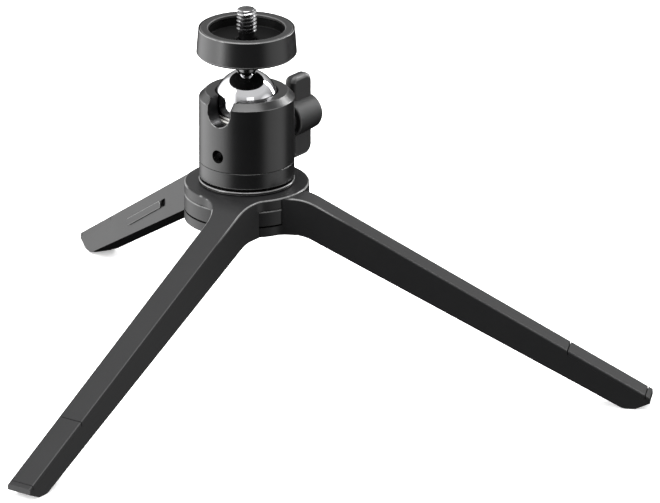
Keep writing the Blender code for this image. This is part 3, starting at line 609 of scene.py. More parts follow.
def metal_look():
    tint = bpy.context.scene.tripod_colours
    return surface("black metal", tint.metal, 0.3, specular=0.5, grain=(4200.0, 0.0015 * MM),
                   lines=(5200.0, 0.002 * MM), edge_scuff_and_highlight=(0.7, (0.22, 0.22, 0.22)), spread=0.02)


# Painted shade: a darker, duller black stands in for the shade inside the lock disc's dish.
def recess_painted_shade_look():
    tint = bpy.context.scene.tripod_colours
    return surface("recess painted shade", tint.recess, 0.6, specular=0.06, grain=(3000.0, 0.004 * MM),
                   edge_scuff_and_highlight=(0.1, (0.03, 0.03, 0.03)), dust=0.05)


def rim_look():
    tint = bpy.context.scene.tripod_colours
    return surface("rim rubber", tint.rubber, 0.6, specular=0.35, grain=(2200.0, 0.05 * MM),
                   edge_scuff_and_highlight=(0.6, (0.12, 0.12, 0.12)))


def foot_look():
    tint = bpy.context.scene.tripod_colours
    return surface("foot rubber", tint.rubber, 0.72, specular=0.3, grain=(1800.0, 0.03 * MM), dust=0.6)


def steel_look():
    tint = bpy.context.scene.tripod_colours
    return surface("turned steel", tint.steel, 0.22, metallic=1.0, lines=(6000.0, 0.004 * MM),
                   edge_scuff_and_highlight=(0.5, (0.82, 0.82, 0.83)), spread=0.04)


def thread_painted_light_look():
    """Steel with a painted highlight on the crests and painted shade in the roots."""
    return surface("cut thread painted light", (0.11, 0.11, 0.112), 0.25, metallic=1.0, lines=(6000.0, 0.003 * MM),
                   edge_scuff_and_highlight=(1.0, (0.80, 0.80, 0.81)), spread=0.04)


def chrome_look():
    tint = bpy.context.scene.tripod_colours
    return surface("polished chrome", tint.chrome, 0.05, metallic=1.0, lines=(2500.0, 0.0006 * MM),
                   edge_scuff_and_highlight=(0.3, (0.9, 0.9, 0.9)), spread=0.01, dust=0.02)


def brass_look():
    tint = bpy.context.scene.tripod_colours
    centre = (HUB.x, HUB.y, LOCK_AXIS_Z)
    return surface("turned brass", tint.brass, 0.3, metallic=1.0, lines=(5000.0, 0.004 * MM),
                   edge_scuff_and_highlight=(0.4, (0.9, 0.75, 0.45)), centre=centre, turn=(math.pi / 2, 0, 0))


def nylon_look():
    tint = bpy.context.scene.tripod_colours
    return surface("natural nylon", tint.nylon, 0.5, grain=(2000.0, 0.01 * MM), edge_scuff_and_highlight=(0.2, (0.9, 0.9, 0.88)))


# ---------------------------------------------------------------- legs

def half_width(x):
    """Half a leg's width at a distance from the hub's axis."""
    sizes = bpy.context.scene.tripod_legs
    taper = max(0.0, (x - sizes.taper_start) / (LEG_REACH - sizes.taper_start))
    return (sizes.width + (sizes.tip_width - sizes.width) * taper) / 2


def top_bend():
    """Distance from the axis where the level top and the slope would meet."""
    return HUB_RADIUS + 0.7 * MM


def top_level(x):
    """Height of a leg's sloping top."""
    return HUB_TOP - (x - top_bend()) * math.tan(bpy.context.scene.tripod_legs.top_slope)


def under_level(x):
    """Height of a leg's sloping underside."""
    return HUB_BOTTOM - (x - HUB_RADIUS - UNDER_LEAD) * math.tan(bpy.context.scene.tripod_legs.under_slope)


def side_outline(middle):
    """A leg seen from the side, as (x, z) points."""
    sizes = bpy.context.scene.tripod_legs
    back = -HUB_RADIUS - 5 * MM
    tip_bottom = FOOT_LEVEL + 2 * MM
    flat_end = LEG_REACH - (tip_bottom - FOOT_LEVEL) / math.tan(math.radians(24))
    flat_start = HUB_RADIUS + UNDER_LEAD + (HUB_BOTTOM - FOOT_LEVEL) / math.tan(sizes.under_slope)
    toe = [(LEG_REACH, top_level(LEG_REACH), 0), (LEG_REACH, tip_bottom, 0),
           (flat_end, FOOT_LEVEL, 1 * MM), (flat_start, FOOT_LEVEL, 5 * MM)]
    if middle:
        bend = top_bend() + (HUB_TOP - MIDDLE_TOP) / math.tan(sizes.top_slope)
        step = HUB_RADIUS + 7.8 * MM
        return rounded([(back, MIDDLE_TOP, 0), (bend, MIDDLE_TOP, 8 * MM)] + toe +
                       [(step, under_level(step), 2.5 * MM), (step, MIDDLE_UNDER, 2.5 * MM),
                        (back, MIDDLE_UNDER, 0)], 12)
    return rounded([(back, HUB_TOP, 0), (top_bend(), HUB_TOP, 16 * MM)] + toe +
                   [(HUB_RADIUS + UNDER_LEAD, HUB_BOTTOM, 12 * MM), (back, HUB_BOTTOM, 0)], 12)


def gusset(edge, radius):
    """Centre of the rounding between the hub disc and a leg edge that far from the leg's axis."""
    across = edge + radius
    return math.sqrt((HUB_RADIUS + radius) ** 2 - across ** 2), across


def plan_outline(offset, inner_radius, outer_radius):
    """A leg seen from above: its disc, the two roundings beside it and the strip of the leg."""
    sizes = bpy.context.scene.tripod_legs
    outer = offset + sizes.width / 2
    inner = offset - sizes.width / 2
    outer_x, outer_y = gusset(outer, outer_radius)
    inner_x, inner_y = gusset(-inner, inner_radius)
    outer_angle = math.atan2(outer_y, outer_x)
    inner_angle = math.atan2(-inner_y, inner_x)
    points = arc((0, 0), HUB_RADIUS, outer_angle, inner_angle + math.tau, 110)
    points += arc((inner_x, -inner_y), inner_radius, inner_angle + math.pi, math.pi / 2, 20)[1:]
    points += [(sizes.taper_start, inner), (LEG_REACH, offset - half_width(LEG_REACH)),
               (LEG_REACH, offset + half_width(LEG_REACH)), (sizes.taper_start, outer)]
    points += arc((outer_x, outer_y), outer_radius, 1.5 * math.pi, outer_angle + math.pi, 16)[:-1]
    return points


def side_slab(name, outline, near, far):
    """Draw an (x, z) outline across from y = near to y = far."""
    return slab(name, [(x, near, z) for x, z in outline], (0, far - near, 0))


def box_slab(name, outline, low, high):
    """Draw an (x, y) outline up from one height to another."""
    return slab(name, [(x, y, low) for x, y in outline], (0, 0, high - low))


def clear_of_discs(leg, side, low, high):
    """Take away what the other two hub discs pass through."""
    sizes = bpy.context.scene.tripod_legs
    inner = LEG_PITCH - sizes.width / 2
    outer = LEG_PITCH + sizes.width / 2
    reach = gusset(-inner, INNER_GUSSET)[0]
    outer_end = gusset(outer, OUTER_GUSSET)[0]
    if high < HUB_TOP:
        drop = HUB_TOP - TOP_DISC_UNDER
        reach = min(reach, top_bend() + drop / math.tan(sizes.top_slope)) - 0.5 * MM
    far = 2 * HUB_RADIUS
    shape_with(leg, rod("disc_room", HUB_RADIUS + GAP, low, high, HUB_STEPS))
    for box in ([(-far, -far), (reach, -far), (reach, inner), (-far, inner)],
                [(-far, outer), (outer_end, outer), (outer_end, far), (-far, far)]):
        shape_with(leg, box_slab("room", [(x, side * y) for x, y in box], low, high))


def model_leg(name, side):
    """One leg in its own frame: along +X, with the hub's axis at the origin."""
    sizes = bpy.context.scene.tripod_legs
    offset = side * LEG_PITCH
    if side:
        plan = [(x, side * y) for x, y in plan_outline(LEG_PITCH, INNER_GUSSET, OUTER_GUSSET)]
    else:
        plan = plan_outline(0, 2 * MM, 2 * MM)
    leg = box_slab(name, plan, -10 * MM, HUB_TOP + 10 * MM)
    wide = 3 * HUB_RADIUS
    shape_with(leg, side_slab("profile", side_outline(side == 0), -wide, wide), "INTERSECT")
    merge_near(leg, 0.25 * MM)

    disc_top = HUB_TOP if side else MIDDLE_TOP

    def on_top(middle):
        level = disc_top
        if middle.x > HUB_RADIUS - 3 * MM:
            level = min(disc_top, top_level(middle.x) + 1.2 * MM)
        return abs(middle.z - level) < 1.6 * MM and middle.x < LEG_REACH - 0.3 * MM

    def below(middle):
        return middle.z < top_level(max(middle.x, top_bend())) - 2.5 * MM and middle.x < PAD_START - 6 * MM

    def outer_top(middle):
        on_edge = middle.x < sizes.taper_start or abs(middle.y - offset) > sizes.tip_width / 2 - 0.2 * MM
        return on_top(middle) and on_edge and middle.xy.length > HUB_RADIUS - 0.5 * MM

    if not side:
        round_edges(leg, sizes.top_round, 4, on_top)
    round_edges(leg, sizes.under_round, 2, below)

    seam = None
    if side > 0:
        clear_of_discs(leg, side, HUB_BOTTOM - 5 * MM, TOP_DISC_UNDER)
        seam = TOP_DISC_UNDER
    elif side < 0:
        clear_of_discs(leg, side, BOTTOM_DISC_TOP, HUB_TOP + 5 * MM)
        seam = BOTTOM_DISC_TOP
    else:
        for low, high in ((MIDDLE_TOP - GAP * 2, HUB_TOP), (HUB_BOTTOM, MIDDLE_UNDER + GAP)):
            shape_with(leg, rod("washer_room", WASHER_ROOM, low, high))
    shape_with(leg, rod("bolt_hole", BOLT_HOLE, HUB_BOTTOM - 5 * MM, HUB_TOP + 5 * MM))
    if side:
        round_edges(leg, sizes.seam_round, 2, lambda middle: abs(middle.z - seam) < 0.02 * MM and
                    middle.xy.length > HUB_RADIUS - 0.05 * MM and middle.x < HUB_RADIUS - 2 * MM)

    start, end = COVER_START - GAP, COVER_END + GAP
    recess = [(start, top_level(start) + COVER_DEPTH), (end, top_level(end) + COVER_DEPTH),
              (end, top_level(end) - COVER_DEPTH), (start, top_level(start) - COVER_DEPTH)]
    shape_with(leg, side_slab("recess", recess, offset - sizes.width, offset + sizes.width))
    pad_room = [(PAD_START - GAP, -1 * MM), (PAD_END + GAP, -1 * MM), (PAD_END + GAP, PAD_TOP + GAP),
                (PAD_START - GAP, PAD_TOP + GAP)]
    across = PAD_HALF_WIDTH + GAP
    shape_with(leg, side_slab("pad_room", pad_room, offset - across, offset + across))
    if side:
        merge_near(leg, 0.12 * MM)
        round_edges(leg, sizes.top_round, 4, outer_top, clamp=False)
    return leg


def rib_band(start, end, half):
    """A sloping band on the leg's side, parallel to its top."""
    below = 5.4 * MM
    return [(start, top_level(start) - below - half), (end, top_level(end) - below - half),
            (end, top_level(end) - below + half), (start, top_level(start) - below + half)]


def add_rib(leg):
    """The raised rib on the back leg's side and the pocket at its hub end."""
    sizes = bpy.context.scene.tripod_legs
    half = sizes.rib_height / 2
    end = sizes.rib_start + sizes.rib_length
    face = half_width(end) + sizes.rib_depth
    corners = [(x, z, 0.9 * MM) for x, z in rib_band(sizes.rib_start, end, half)]
    rib = side_slab("rib", rounded(corners, 5), 0, face)
    round_edges(rib, 0.3 * MM, 3, lambda middle: middle.y > face - 0.01 * MM)
    shape_with(leg, rib, "UNION")
    pocket = [(x, z, 0.6 * MM) for x, z in rib_band(sizes.rib_start - 3.5 * MM, sizes.rib_start, half)]
    depth = half_width(sizes.rib_start) - 0.9 * MM
    shape_with(leg, side_slab("pocket", rounded(pocket, 4), depth, sizes.width))


class TRIPOD_OT_legs(Operator):
    """Model the three flat legs with their hub discs"""
    bl_idname = "tripod.legs"
    bl_label = "Legs"

    def execute(self, context):
        look = leg_look()
        for name, side, azimuth in LEGS:
            leg = model_leg(f"{name}_leg", side)
            if side == 0:
                add_rib(leg)
            place(leg, HUB, (0, 0, azimuth))
            finish_piece(leg, f"{name}_leg", [f"leg_{name}"], look)
        return {"FINISHED"}


class TRIPOD_OT_toe_covers(Operator):
    """Model the cover let into each toe"""
    bl_idname = "tripod.toe_covers"
    bl_label = "Toe covers"

    def execute(self, context):
        look = leg_look()
        sizes = context.scene.tripod_legs
        start, end = COVER_START, COVER_END
        thickness = COVER_DEPTH - 0.02 * MM
        half = half_width(end)
        outline = [(start, top_level(start)), (end, top_level(end)),
                   (end, top_level(end) - thickness), (start, top_level(start) - thickness)]
        for name, side, azimuth in LEGS:
            offset = side * LEG_PITCH
            cover = side_slab(f"{name}_toe_cover", outline, offset - half, offset + half)

            def on_top(middle):
                return middle.z > top_level(middle.x) - 0.3 * MM
            round_edges(cover, sizes.top_round, 4,
                        lambda middle: on_top(middle) and abs(middle.y - offset) > half - 0.01 * MM)
            round_edges(cover, 0.12 * MM, 2,
                        lambda middle: on_top(middle) and abs(middle.y - offset) < half - 1 * MM)
            place(cover, HUB, (0, 0, azimuth))
            finish_piece(cover, f"{name}_leg", [f"toe_cover_{name}"], look)
        return {"FINISHED"}


# ---------------------------------------------------------------- head

class TRIPOD_OT_head_base(Operator):
    """Model the seat ring and the base that the housing pans on"""
    bl_idname = "tripod.head_base"
    bl_label = "Seat ring and head base"

    def execute(self, context):
        look = metal_look()
        low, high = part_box("seat_ring")
        radius = box_radius("seat_ring")
        ring = spun("seat_ring_turned", rounded([
            (BOLT_HOLE, low.z, 0), (radius, low.z, 0.2 * MM),
            (radius, high.z, 0.35 * MM), (BOLT_HOLE, high.z, 0)], 4), True)
        place(ring, HUB)
        finish_piece(ring, "back_leg", ["seat_ring"], look)

        low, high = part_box("head_base")
        top = HOUSING_BOTTOM - context.scene.tripod_head.seam_gap
        chamfer = context.scene.tripod_head.seam_chamfer
        groove = box_radius("pan_washer") + GAP
        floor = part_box("pan_washer")[0].z - GAP
        step = HOUSING_BOTTOM + SPIGOT_STEP
        base = spun("head_base_turned", rounded([
            (BOLT_HOLE, low.z, 0), (HEAD_RADIUS - 0.8 * MM, low.z, 0.15 * MM),
            (HEAD_RADIUS, low.z + 0.8 * MM, 0.3 * MM), (HEAD_RADIUS, top - chamfer, 0),
            (HEAD_RADIUS - chamfer, top, 0), (groove, top, 0), (groove, floor, 0),
            (groove - GROOVE_WIDTH, floor, 0), (groove - GROOVE_WIDTH, top, 0), (SEAM_INNER, top, 0),
            (SEAM_INNER, step, 0), (SPIGOT_RADIUS, step, 0), (SPIGOT_RADIUS, high.z, 0),
            (BOLT_HOLE, high.z, 0)], 4), True)
        place(base, HUB)
        finish_piece(base, "back_leg", ["head_base"], look)
        return {"FINISHED"}


class TRIPOD_OT_housing(Operator):
    """Model the round housing with its side notch and cross holes"""
    bl_idname = "tripod.housing"
    bl_label = "Housing"

    def execute(self, context):
        sizes = context.scene.tripod_head
        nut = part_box("pan_ring_nut")
        nut_room = box_radius("pan_ring_nut") + GAP
        nut_floor, nut_top = nut[0].z - GAP, nut[1].z + 2 * GAP
        socket = BALL_RADIUS + GAP
        rise = HOUSING_TOP - BALL_CENTRE.z
        mouth = math.sqrt(socket ** 2 - rise ** 2)
        chamfer, seam = sizes.chamfer, sizes.seam_chamfer
        outside = rounded([
            (HOUSING_BORE, HOUSING_BOTTOM, 0), (HEAD_RADIUS - seam, HOUSING_BOTTOM, 0),
            (HEAD_RADIUS, HOUSING_BOTTOM + seam, 0),
            (HEAD_RADIUS, HOUSING_TOP - chamfer, 0.25 * MM),
            (HEAD_RADIUS - chamfer, HOUSING_TOP, 0.2 * MM), (mouth + 0.3 * MM, HOUSING_TOP, 0)], 4, False)
        inside = arc((0, BALL_CENTRE.z), socket, math.asin((rise - 0.35 * MM) / socket), 0, 14)
        inside += [(socket, nut_top), (nut_room, nut_top), (nut_room, nut_floor),
                   (HOUSING_BORE, nut_floor)]
        housing = spun("housing_turned", outside + inside, True)
        half = sizes.notch_width / 2
        far = HOUSING_TOP + 5 * MM
        notch_centre = BALL_CENTRE.z - sizes.notch_drop
        notch = [(half, far)] + arc((0, notch_centre), half, 0, -math.pi, 32) + [(-half, far)]
        shape_with(housing, slab("notch", [(x, 0, z) for x, z in notch], (0, -HEAD_RADIUS - 5 * MM, 0)))
        for name, radius, level, turn in (
                ("cross_hole", sizes.tap_radius, LOCK_AXIS_Z - sizes.tap_drop, math.pi / 2),
                ("screw_hole", SCREW_HOLE, LOCK_AXIS_Z, -math.pi / 2)):
            drill = rod(name, radius, BALL_RADIUS / 2, 2 * HEAD_RADIUS)
            shape_with(housing, place(drill, (0, 0, level), (turn, 0, 0)))

        def round_notch(middle):
            return (middle.y < -socket + 0.5 * MM and abs(middle.x) < half + 0.2 * MM
                    and middle.z > notch_centre - half - 0.1 * MM)
        round_edges(housing, sizes.notch_edge, 3, round_notch, clamp=False)
        place(housing, HUB)
        finish_piece(housing, "head", ["housing"], metal_look())
        return {"FINISHED"}


class TRIPOD_OT_ball(Operator):
    """Model the polished ball with its flat and bore"""
    bl_idname = "tripod.ball"
    bl_label = "Ball"

    def execute(self, context):
        bore = 2.8 * MM
        flat = bore + 0.35 * MM
        top = math.acos(flat / BALL_RADIUS)
        floor = STUD_BOTTOM - GAP - BALL_CENTRE.z
        profile = arc((0, 0), BALL_RADIUS, -math.pi / 2, top, 72)
        profile += [(bore, BALL_RADIUS * math.sin(top) - 0.12 * MM), (bore, floor), (0, floor)]
        ball = spun("polished_ball", profile)
        place(ball, BALL_CENTRE)
        finish_piece(ball, "ball_tilting", ["ball"], chrome_look())
        return {"FINISHED"}


# ---------------------------------------------------------------- camera screw and lock disc

def cap_thread(thread, upper):
    """Close one open end of the thread with a fan of faces."""
    bpy.ops.mesh.select_mode(type="EDGE")
    bpy.ops.mesh.select_all(action="DESELECT")
    shape = bmesh.from_edit_mesh(thread.data)
    heights = [vert.co.z for vert in shape.verts]
    middle = (min(heights) + max(heights)) / 2
    for edge in shape.edges:
        if edge.is_boundary and (edge.verts[0].co.z > middle) == upper:
            edge.select_set(True)
    bmesh.update_edit_mesh(thread.data)
    bpy.ops.mesh.extrude_edges_move()
    bpy.ops.mesh.merge(type="CENTER")


def model_thread(low, high):
    """A solid thread round the Z axis from one height to another."""
    sizes = bpy.context.scene.tripod_disc
    pitch, root = sizes.thread_pitch, sizes.root_radius
    crest = STUD_RADIUS
    thread = draw("thread", [(root, 0, low), (root, 0, low + pitch * 0.22), (crest, 0, low + pitch * 0.54),
                             (crest, 0, low + pitch * 0.68), (root, 0, low + pitch)])
    bpy.ops.object.mode_set(mode="OBJECT")
    winding = thread.modifiers.new("winding", "SCREW")
    winding.axis = "Z"
    winding.angle = math.tau
    winding.screw_offset = pitch
    winding.iterations = math.ceil((high - low) / pitch)
    winding.steps = 48
    winding.render_steps = 48
    winding.use_merge_vertices = True
    winding.merge_threshold = 1e-6
    choose(thread)
    bpy.ops.object.modifier_apply(modifier=winding.name)
    bpy.ops.object.mode_set(mode="EDIT")
    bpy.ops.mesh.select_all(action="SELECT")
    bpy.ops.mesh.remove_doubles(threshold=1e-6)
    cap_thread(thread, False)
    cap_thread(thread, True)
    bpy.ops.mesh.select_all(action="SELECT")
    bpy.ops.mesh.normals_make_consistent(inside=False)
    bpy.ops.object.mode_set(mode="OBJECT")
    return thread


class TRIPOD_OT_camera_screw(Operator):
    """Model the camera screw with its cut thread, relief and plain neck"""
    bl_idname = "tripod.camera_screw"
    bl_label = "Camera screw"

    def execute(self, context):
        sizes = context.scene.tripod_disc
        floor = DISC_TOP - sizes.recess_depth
        relief_top = STUD_TOP - 7 * MM
        relief_bottom = floor - 0.8 * MM
        thread_bottom = DISC_BOTTOM - 2.5 * MM
        neck = sizes.root_radius - 0.03 * MM
        crest = STUD_RADIUS - 0.01 * MM
        stud = model_thread(STUD_BOTTOM - 2 * MM, STUD_TOP + 2 * MM)
        stud.name = "camera_screw"
        shell = spun("shell", [
            (0, STUD_BOTTOM), (neck - 0.3 * MM, STUD_BOTTOM), (neck, STUD_BOTTOM + 0.3 * MM),
            (neck, thread_bottom), (crest, thread_bottom + 0.5 * MM),
            (crest, relief_bottom), (neck, relief_bottom + 0.5 * MM), (neck, relief_top - 0.5 * MM),
            (crest, relief_top), (crest, STUD_TOP - 0.55 * MM), (crest - 0.55 * MM, STUD_TOP),
            (0, STUD_TOP)], steps=48)
        shape_with(stud, shell, "INTERSECT")
        place(stud, HUB)
        finish_piece(stud, "stem", ["camera_stud"], thread_painted_light_look(), 28.0)
        # Painted highlight and shade: the edge mask follows the radius, so the crests are painted bright and the
        # roots dark.
        marks = []
        for vert in stud.data.vertices:
            out = (vert.co.xy - HUB.xy).length - sizes.root_radius
            marks.append(max(0.0, min(1.0, out / (STUD_RADIUS - sizes.root_radius))))
        stud.data.attributes["edge"].data.foreach_set("value", marks)
        return {"FINISHED"}


class TRIPOD_OT_lock_disc(Operator):
    """Model the dished lock disc"""
    bl_idname = "tripod.lock_disc"
    bl_label = "Lock disc"

    def execute(self, context):
        sizes = context.scene.tripod_disc
        floor = DISC_TOP - sizes.recess_depth
        bore = STUD_RADIUS + GAP
        groove = RING_BOTTOM - GAP
        profile = rounded([
            (bore, DISC_BOTTOM + 0.4 * MM, 0), (bore + 0.4 * MM, DISC_BOTTOM, 0),
            (DISC_BOTTOM_RADIUS - 0.7 * MM, DISC_BOTTOM, 0.25 * MM),
            (DISC_BOTTOM_RADIUS, DISC_BOTTOM + 0.7 * MM, 0.4 * MM),
            (sizes.top_radius, DISC_TOP, 0.28 * MM),
            (RING_OUTER + GAP, DISC_TOP, 0), (RING_OUTER + GAP, groove, 0),
            (sizes.recess_radius, groove, 0), (sizes.recess_radius, floor, 0.3 * MM),
            (bore + 0.4 * MM, floor, 0), (bore, floor - 0.4 * MM, 0)], 5)
        disc = spun("lock_disc_turned", profile, True)
        place(disc, HUB)
        finish_piece(disc, "disc", ["lock_disc"], metal_look())
        # Painted shade: the faces inside the dish get the darker, duller black.
        disc.data.materials.append(recess_painted_shade_look())
        for face in disc.data.polygons:
            if (face.center.xy - HUB.xy).length < sizes.recess_radius + 0.01 * MM:
                face.material_index = 1
        return {"FINISHED"}


class TRIPOD_OT_grip_ring(Operator):
    """Model the textured ring on the lock disc's rim"""
    bl_idname = "tripod.grip_ring"
    bl_label = "Grip ring"

    def execute(self, context):
        inner = context.scene.tripod_disc.recess_radius
        profile = rounded([
            (inner, RING_BOTTOM, 0), (RING_OUTER, RING_BOTTOM, 0),
            (RING_OUTER, DISC_TOP, 0.25 * MM), (inner, DISC_TOP, 0.3 * MM)], 5)
        ring = spun("grip_ring_turned", profile, True)
        place(ring, HUB)
        finish_piece(ring, "disc_travel", ["grip_ring"], rim_look())
        return {"FINISHED"}


# ---------------------------------------------------------------- knob

class TRIPOD_OT_wing_knob(Operator):
    """Model the wing knob and the collar behind it"""
    bl_idname = "tripod.wing_knob"
    bl_label = "Wing knob"

    def execute(self, context):
        sizes = context.scene.tripod_knob
        look = knob_look()
        lock_centre = (HUB.x, HUB.y, LOCK_AXIS_Z)
        along = (-math.pi / 2, 0, 0)                # the local Z then points away from the hub
        knob = spun("wing_knob_moulded", rounded([
            (0, KNOB_START, 0), (sizes.inner_radius, KNOB_START, 0.5 * MM),
            (sizes.outer_radius, KNOB_END, 0.9 * MM), (0, KNOB_END, 0)], 5, False), steps=SMALL_STEPS)
        start = KNOB_START + sizes.wing_start
        end = start + sizes.wing_length
        half = sizes.wing_thickness / 2
        outline = rounded([(-WING_HALF_SPAN, start, 2 * MM), (WING_HALF_SPAN, start, 2 * MM),
                           (WING_HALF_SPAN, end, 3.2 * MM), (-WING_HALF_SPAN, end, 3.2 * MM)], 10)
        wings = slab("wings", [(-half, y, z) for y, z in outline], (2 * half, 0, 0))
        round_edges(wings, 1.45 * MM, 6, lambda middle: abs(middle.x) > half - 0.01 * MM)
        shape_with(knob, wings, "UNION")
        reach = KNOB_END - 2 * MM
        shape_with(knob, rod("screw_bore", SCREW_HOLE, KNOB_START - 1 * MM, reach))
        place(knob, lock_centre, along)
        finish_piece(knob, "knob", ["wing_knob"], look)

        low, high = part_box("knob_collar")
        collar = spun("knob_collar_turned", rounded([
            (SCREW_HOLE, low.y - HUB.y, 0), (COLLAR_RADIUS, low.y - HUB.y, 0.3 * MM),
            (COLLAR_RADIUS, high.y - HUB.y, 0.3 * MM), (SCREW_HOLE, high.y - HUB.y, 0)], 4), True, SMALL_STEPS)
        place(collar, lock_centre, along)
        finish_piece(collar, "knob", ["knob_collar"], look)
        return {"FINISHED"}


# ---------------------------------------------------------------- parts inside

class TRIPOD_OT_inner_parts(Operator):
    """Give the parts inside and underneath their finish"""
    bl_idname = "tripod.inner_parts"
    bl_label = "Inner parts"

    def execute(self, context):
        looks = {"steel": steel_look(), "rubber": foot_look(), "brass": brass_look(), "nylon": nylon_look(),
                 "black_metal": metal_look(), "leg_plastic": leg_look(), "knob_plastic": knob_look(),
                 "chrome_ball": chrome_look()}
        slots = {part["node"]: part["material_slot"] for part in frame["record"]["subparts"]}
        for name, node in frame["nodes"].items():
            if not node.hide_render:
                node.data.materials.clear()
                node.data.materials.append(looks[slots[name]])
        return {"FINISHED"}


# ---------------------------------------------------------------- stage

def soft_light(name, size, power, azimuth, height, distance):
    """A white rectangular lamp that looks at the tripod; azimuth is from the camera, + to its right."""
    lamp = bpy.data.lights.new(name, "AREA")
    lamp.shape = "RECTANGLE"
    lamp.size, lamp.size_y = size
    lamp.energy = power
    made = bpy.data.objects.new(name, lamp)
    bpy.context.scene.collection.objects.link(made)
    angle = math.radians(CAMERA_AZIMUTH + azimuth)
    place_of = Vector((math.sin(angle) * distance, -math.cos(angle) * distance, height))
    made.location = place_of
    made.rotation_mode = "QUATERNION"
    made.rotation_quaternion = (Vector((0, 0, 60 * MM)) - place_of).to_track_quat("-Z", "Y")


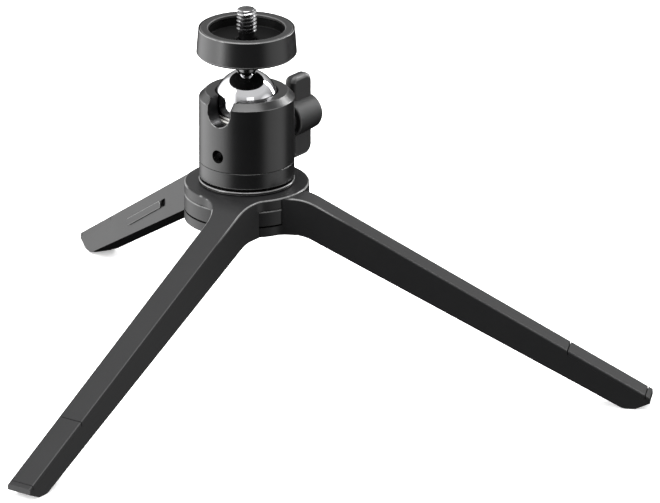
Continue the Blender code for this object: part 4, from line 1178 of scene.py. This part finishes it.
class TRIPOD_OT_stage(Operator):
    """Lay the pale floor, hang the soft lights and set up the camera"""
    bl_idname = "tripod.stage"
    bl_label = "Stage"

    def execute(self, context):
        rest_all()
        bpy.ops.mesh.primitive_plane_add(size=60, location=(0, 0, -0.05 * MM))
        floor = context.object
        floor.name = "floor"
        pale = bpy.data.materials.new("pale floor")
        pale.use_nodes = True
        shader = pale.node_tree.nodes["Principled BSDF"]
        tint = context.scene.tripod_colours.floor
        shader.inputs["Base Color"].default_value = (*tint, 1)
        shader.inputs["Roughness"].default_value = 0.9
        shader.inputs["Specular IOR Level"].default_value = 0.1
        shader.inputs["Emission Color"].default_value = (*tint, 1)
        shader.inputs["Emission Strength"].default_value = 0.45
        floor.data.materials.append(pale)
        floor.visible_glossy = False
        floor.visible_diffuse = False

        soft_light("overhead", (1.6, 1.6), 55, 0, 2.0, 0.3)
        soft_light("left_strip", (0.35, 1.5), 22, -62, 0.55, 1.4)
        soft_light("right_edge", (0.30, 1.5), 22, 125, 0.55, 1.4)
        soft_light("front_fill", (1.2, 0.8), 3, 15, 0.9, 2.4)

        world = bpy.data.worlds.new("studio")
        world.use_nodes = True
        tree = world.node_tree
        sky = tree.nodes["Background"]
        split = add_node(tree, "ShaderNodeSeparateXYZ")
        direction = add_node(tree, "ShaderNodeTexCoord").outputs["Generated"]
        tree.links.new(direction, split.inputs[0])
        rise = add_node(tree, "ShaderNodeMapRange",
                        {"From Min": -0.1, "From Max": 0.5, "To Min": 0.01, "To Max": 0.7})
        tree.links.new(split.outputs["Z"], rise.inputs["Value"])
        strength = rise.outputs["Result"]
        for azimuth, height, edge, power in ((-95, -0.09, 0.5, 3.5), (75, -0.27, 0.8, 1.2)):
            side = math.radians(CAMERA_AZIMUTH + azimuth)
            toward = add_node(tree, "ShaderNodeVectorMath", operation="DOT_PRODUCT")
            toward.inputs[1].default_value = Vector((math.sin(side), -math.cos(side), height)).normalized()
            tree.links.new(direction, toward.inputs[0])
            glow = add_node(tree, "ShaderNodeMapRange", {"From Min": edge, "From Max": 0.95, "To Max": power})
            tree.links.new(toward.outputs["Value"], glow.inputs["Value"])
            strength = maths(tree, "ADD", strength, glow.outputs["Result"])
        seen = add_node(tree, "ShaderNodeMix", {"B": 1.0})
        tree.links.new(add_node(tree, "ShaderNodeLightPath").outputs["Is Camera Ray"], seen.inputs["Factor"])
        tree.links.new(strength, seen.inputs["A"])
        tree.links.new(seen.outputs["Result"], sky.inputs["Strength"])
        sky.inputs["Color"].default_value = (1, 1, 1, 1)
        context.scene.world = world
        context.scene.view_settings.view_transform = "Standard"

        azimuth, elevation = math.radians(CAMERA_AZIMUTH), math.radians(CAMERA_ELEVATION)
        right = Vector((math.cos(azimuth), math.sin(azimuth), 0))
        looked_at = HUB + right * 26.16 * MM + Vector((0, 0, 41.5 * MM))
        back = Vector((math.sin(azimuth) * math.cos(elevation), -math.cos(azimuth) * math.cos(elevation),
                       math.sin(elevation)))
        lens = bpy.data.cameras.new("camera")
        lens.sensor_width = 36.0
        lens.lens = 1212.9
        lens.clip_start = 0.1
        lens.clip_end = 100.0
        camera = bpy.data.objects.new("camera", lens)
        context.scene.collection.objects.link(camera)
        camera.location = looked_at + back * CAMERA_DISTANCE
        camera.rotation_mode = "QUATERNION"
        camera.rotation_quaternion = (-back).to_track_quat("-Z", "Y")
        context.scene.camera = camera
        return {"FINISHED"}


# ---------------------------------------------------------------- sidebar panel and registration

OPERATORS = (TRIPOD_OT_legs, TRIPOD_OT_toe_covers, TRIPOD_OT_head_base, TRIPOD_OT_housing, TRIPOD_OT_ball,
             TRIPOD_OT_camera_screw, TRIPOD_OT_lock_disc, TRIPOD_OT_grip_ring, TRIPOD_OT_wing_knob,
             TRIPOD_OT_inner_parts, TRIPOD_OT_stage)
GROUPS = (("tripod_legs", LegSizes), ("tripod_head", HeadSizes), ("tripod_disc", DiscSizes),
          ("tripod_knob", KnobSizes), ("tripod_colours", Colours))


class TRIPOD_PT_panel(Panel):
    """Lists the tripod's sizes, colours and pieces"""
    bl_label = "Mini tripod"
    bl_space_type = "VIEW_3D"
    bl_region_type = "UI"
    bl_category = "Tripod"

    def draw(self, context):
        for group, kind in GROUPS:
            box = self.layout.box()
            box.label(text=group.split("_")[1].capitalize())
            for size in kind.__annotations__:
                box.prop(getattr(context.scene, group), size)
        for operator in OPERATORS:
            self.layout.operator(operator.bl_idname)


def register():
    for name, kind in GROUPS:
        bpy.utils.register_class(kind)
        setattr(bpy.types.Scene, name, PointerProperty(type=kind))
    for operator in OPERATORS:
        bpy.utils.register_class(operator)
    bpy.utils.register_class(TRIPOD_PT_panel)


def unregister():
    bpy.utils.unregister_class(TRIPOD_PT_panel)
    for operator in reversed(OPERATORS):
        bpy.utils.unregister_class(operator)
    for name, kind in reversed(GROUPS):
        delattr(bpy.types.Scene, name)
        bpy.utils.unregister_class(kind)


def main():
    register()
    for operator in OPERATORS:
        group, name = operator.bl_idname.split(".")
        getattr(getattr(bpy.ops, group), name)()


if __name__ == "__main__":
    main()
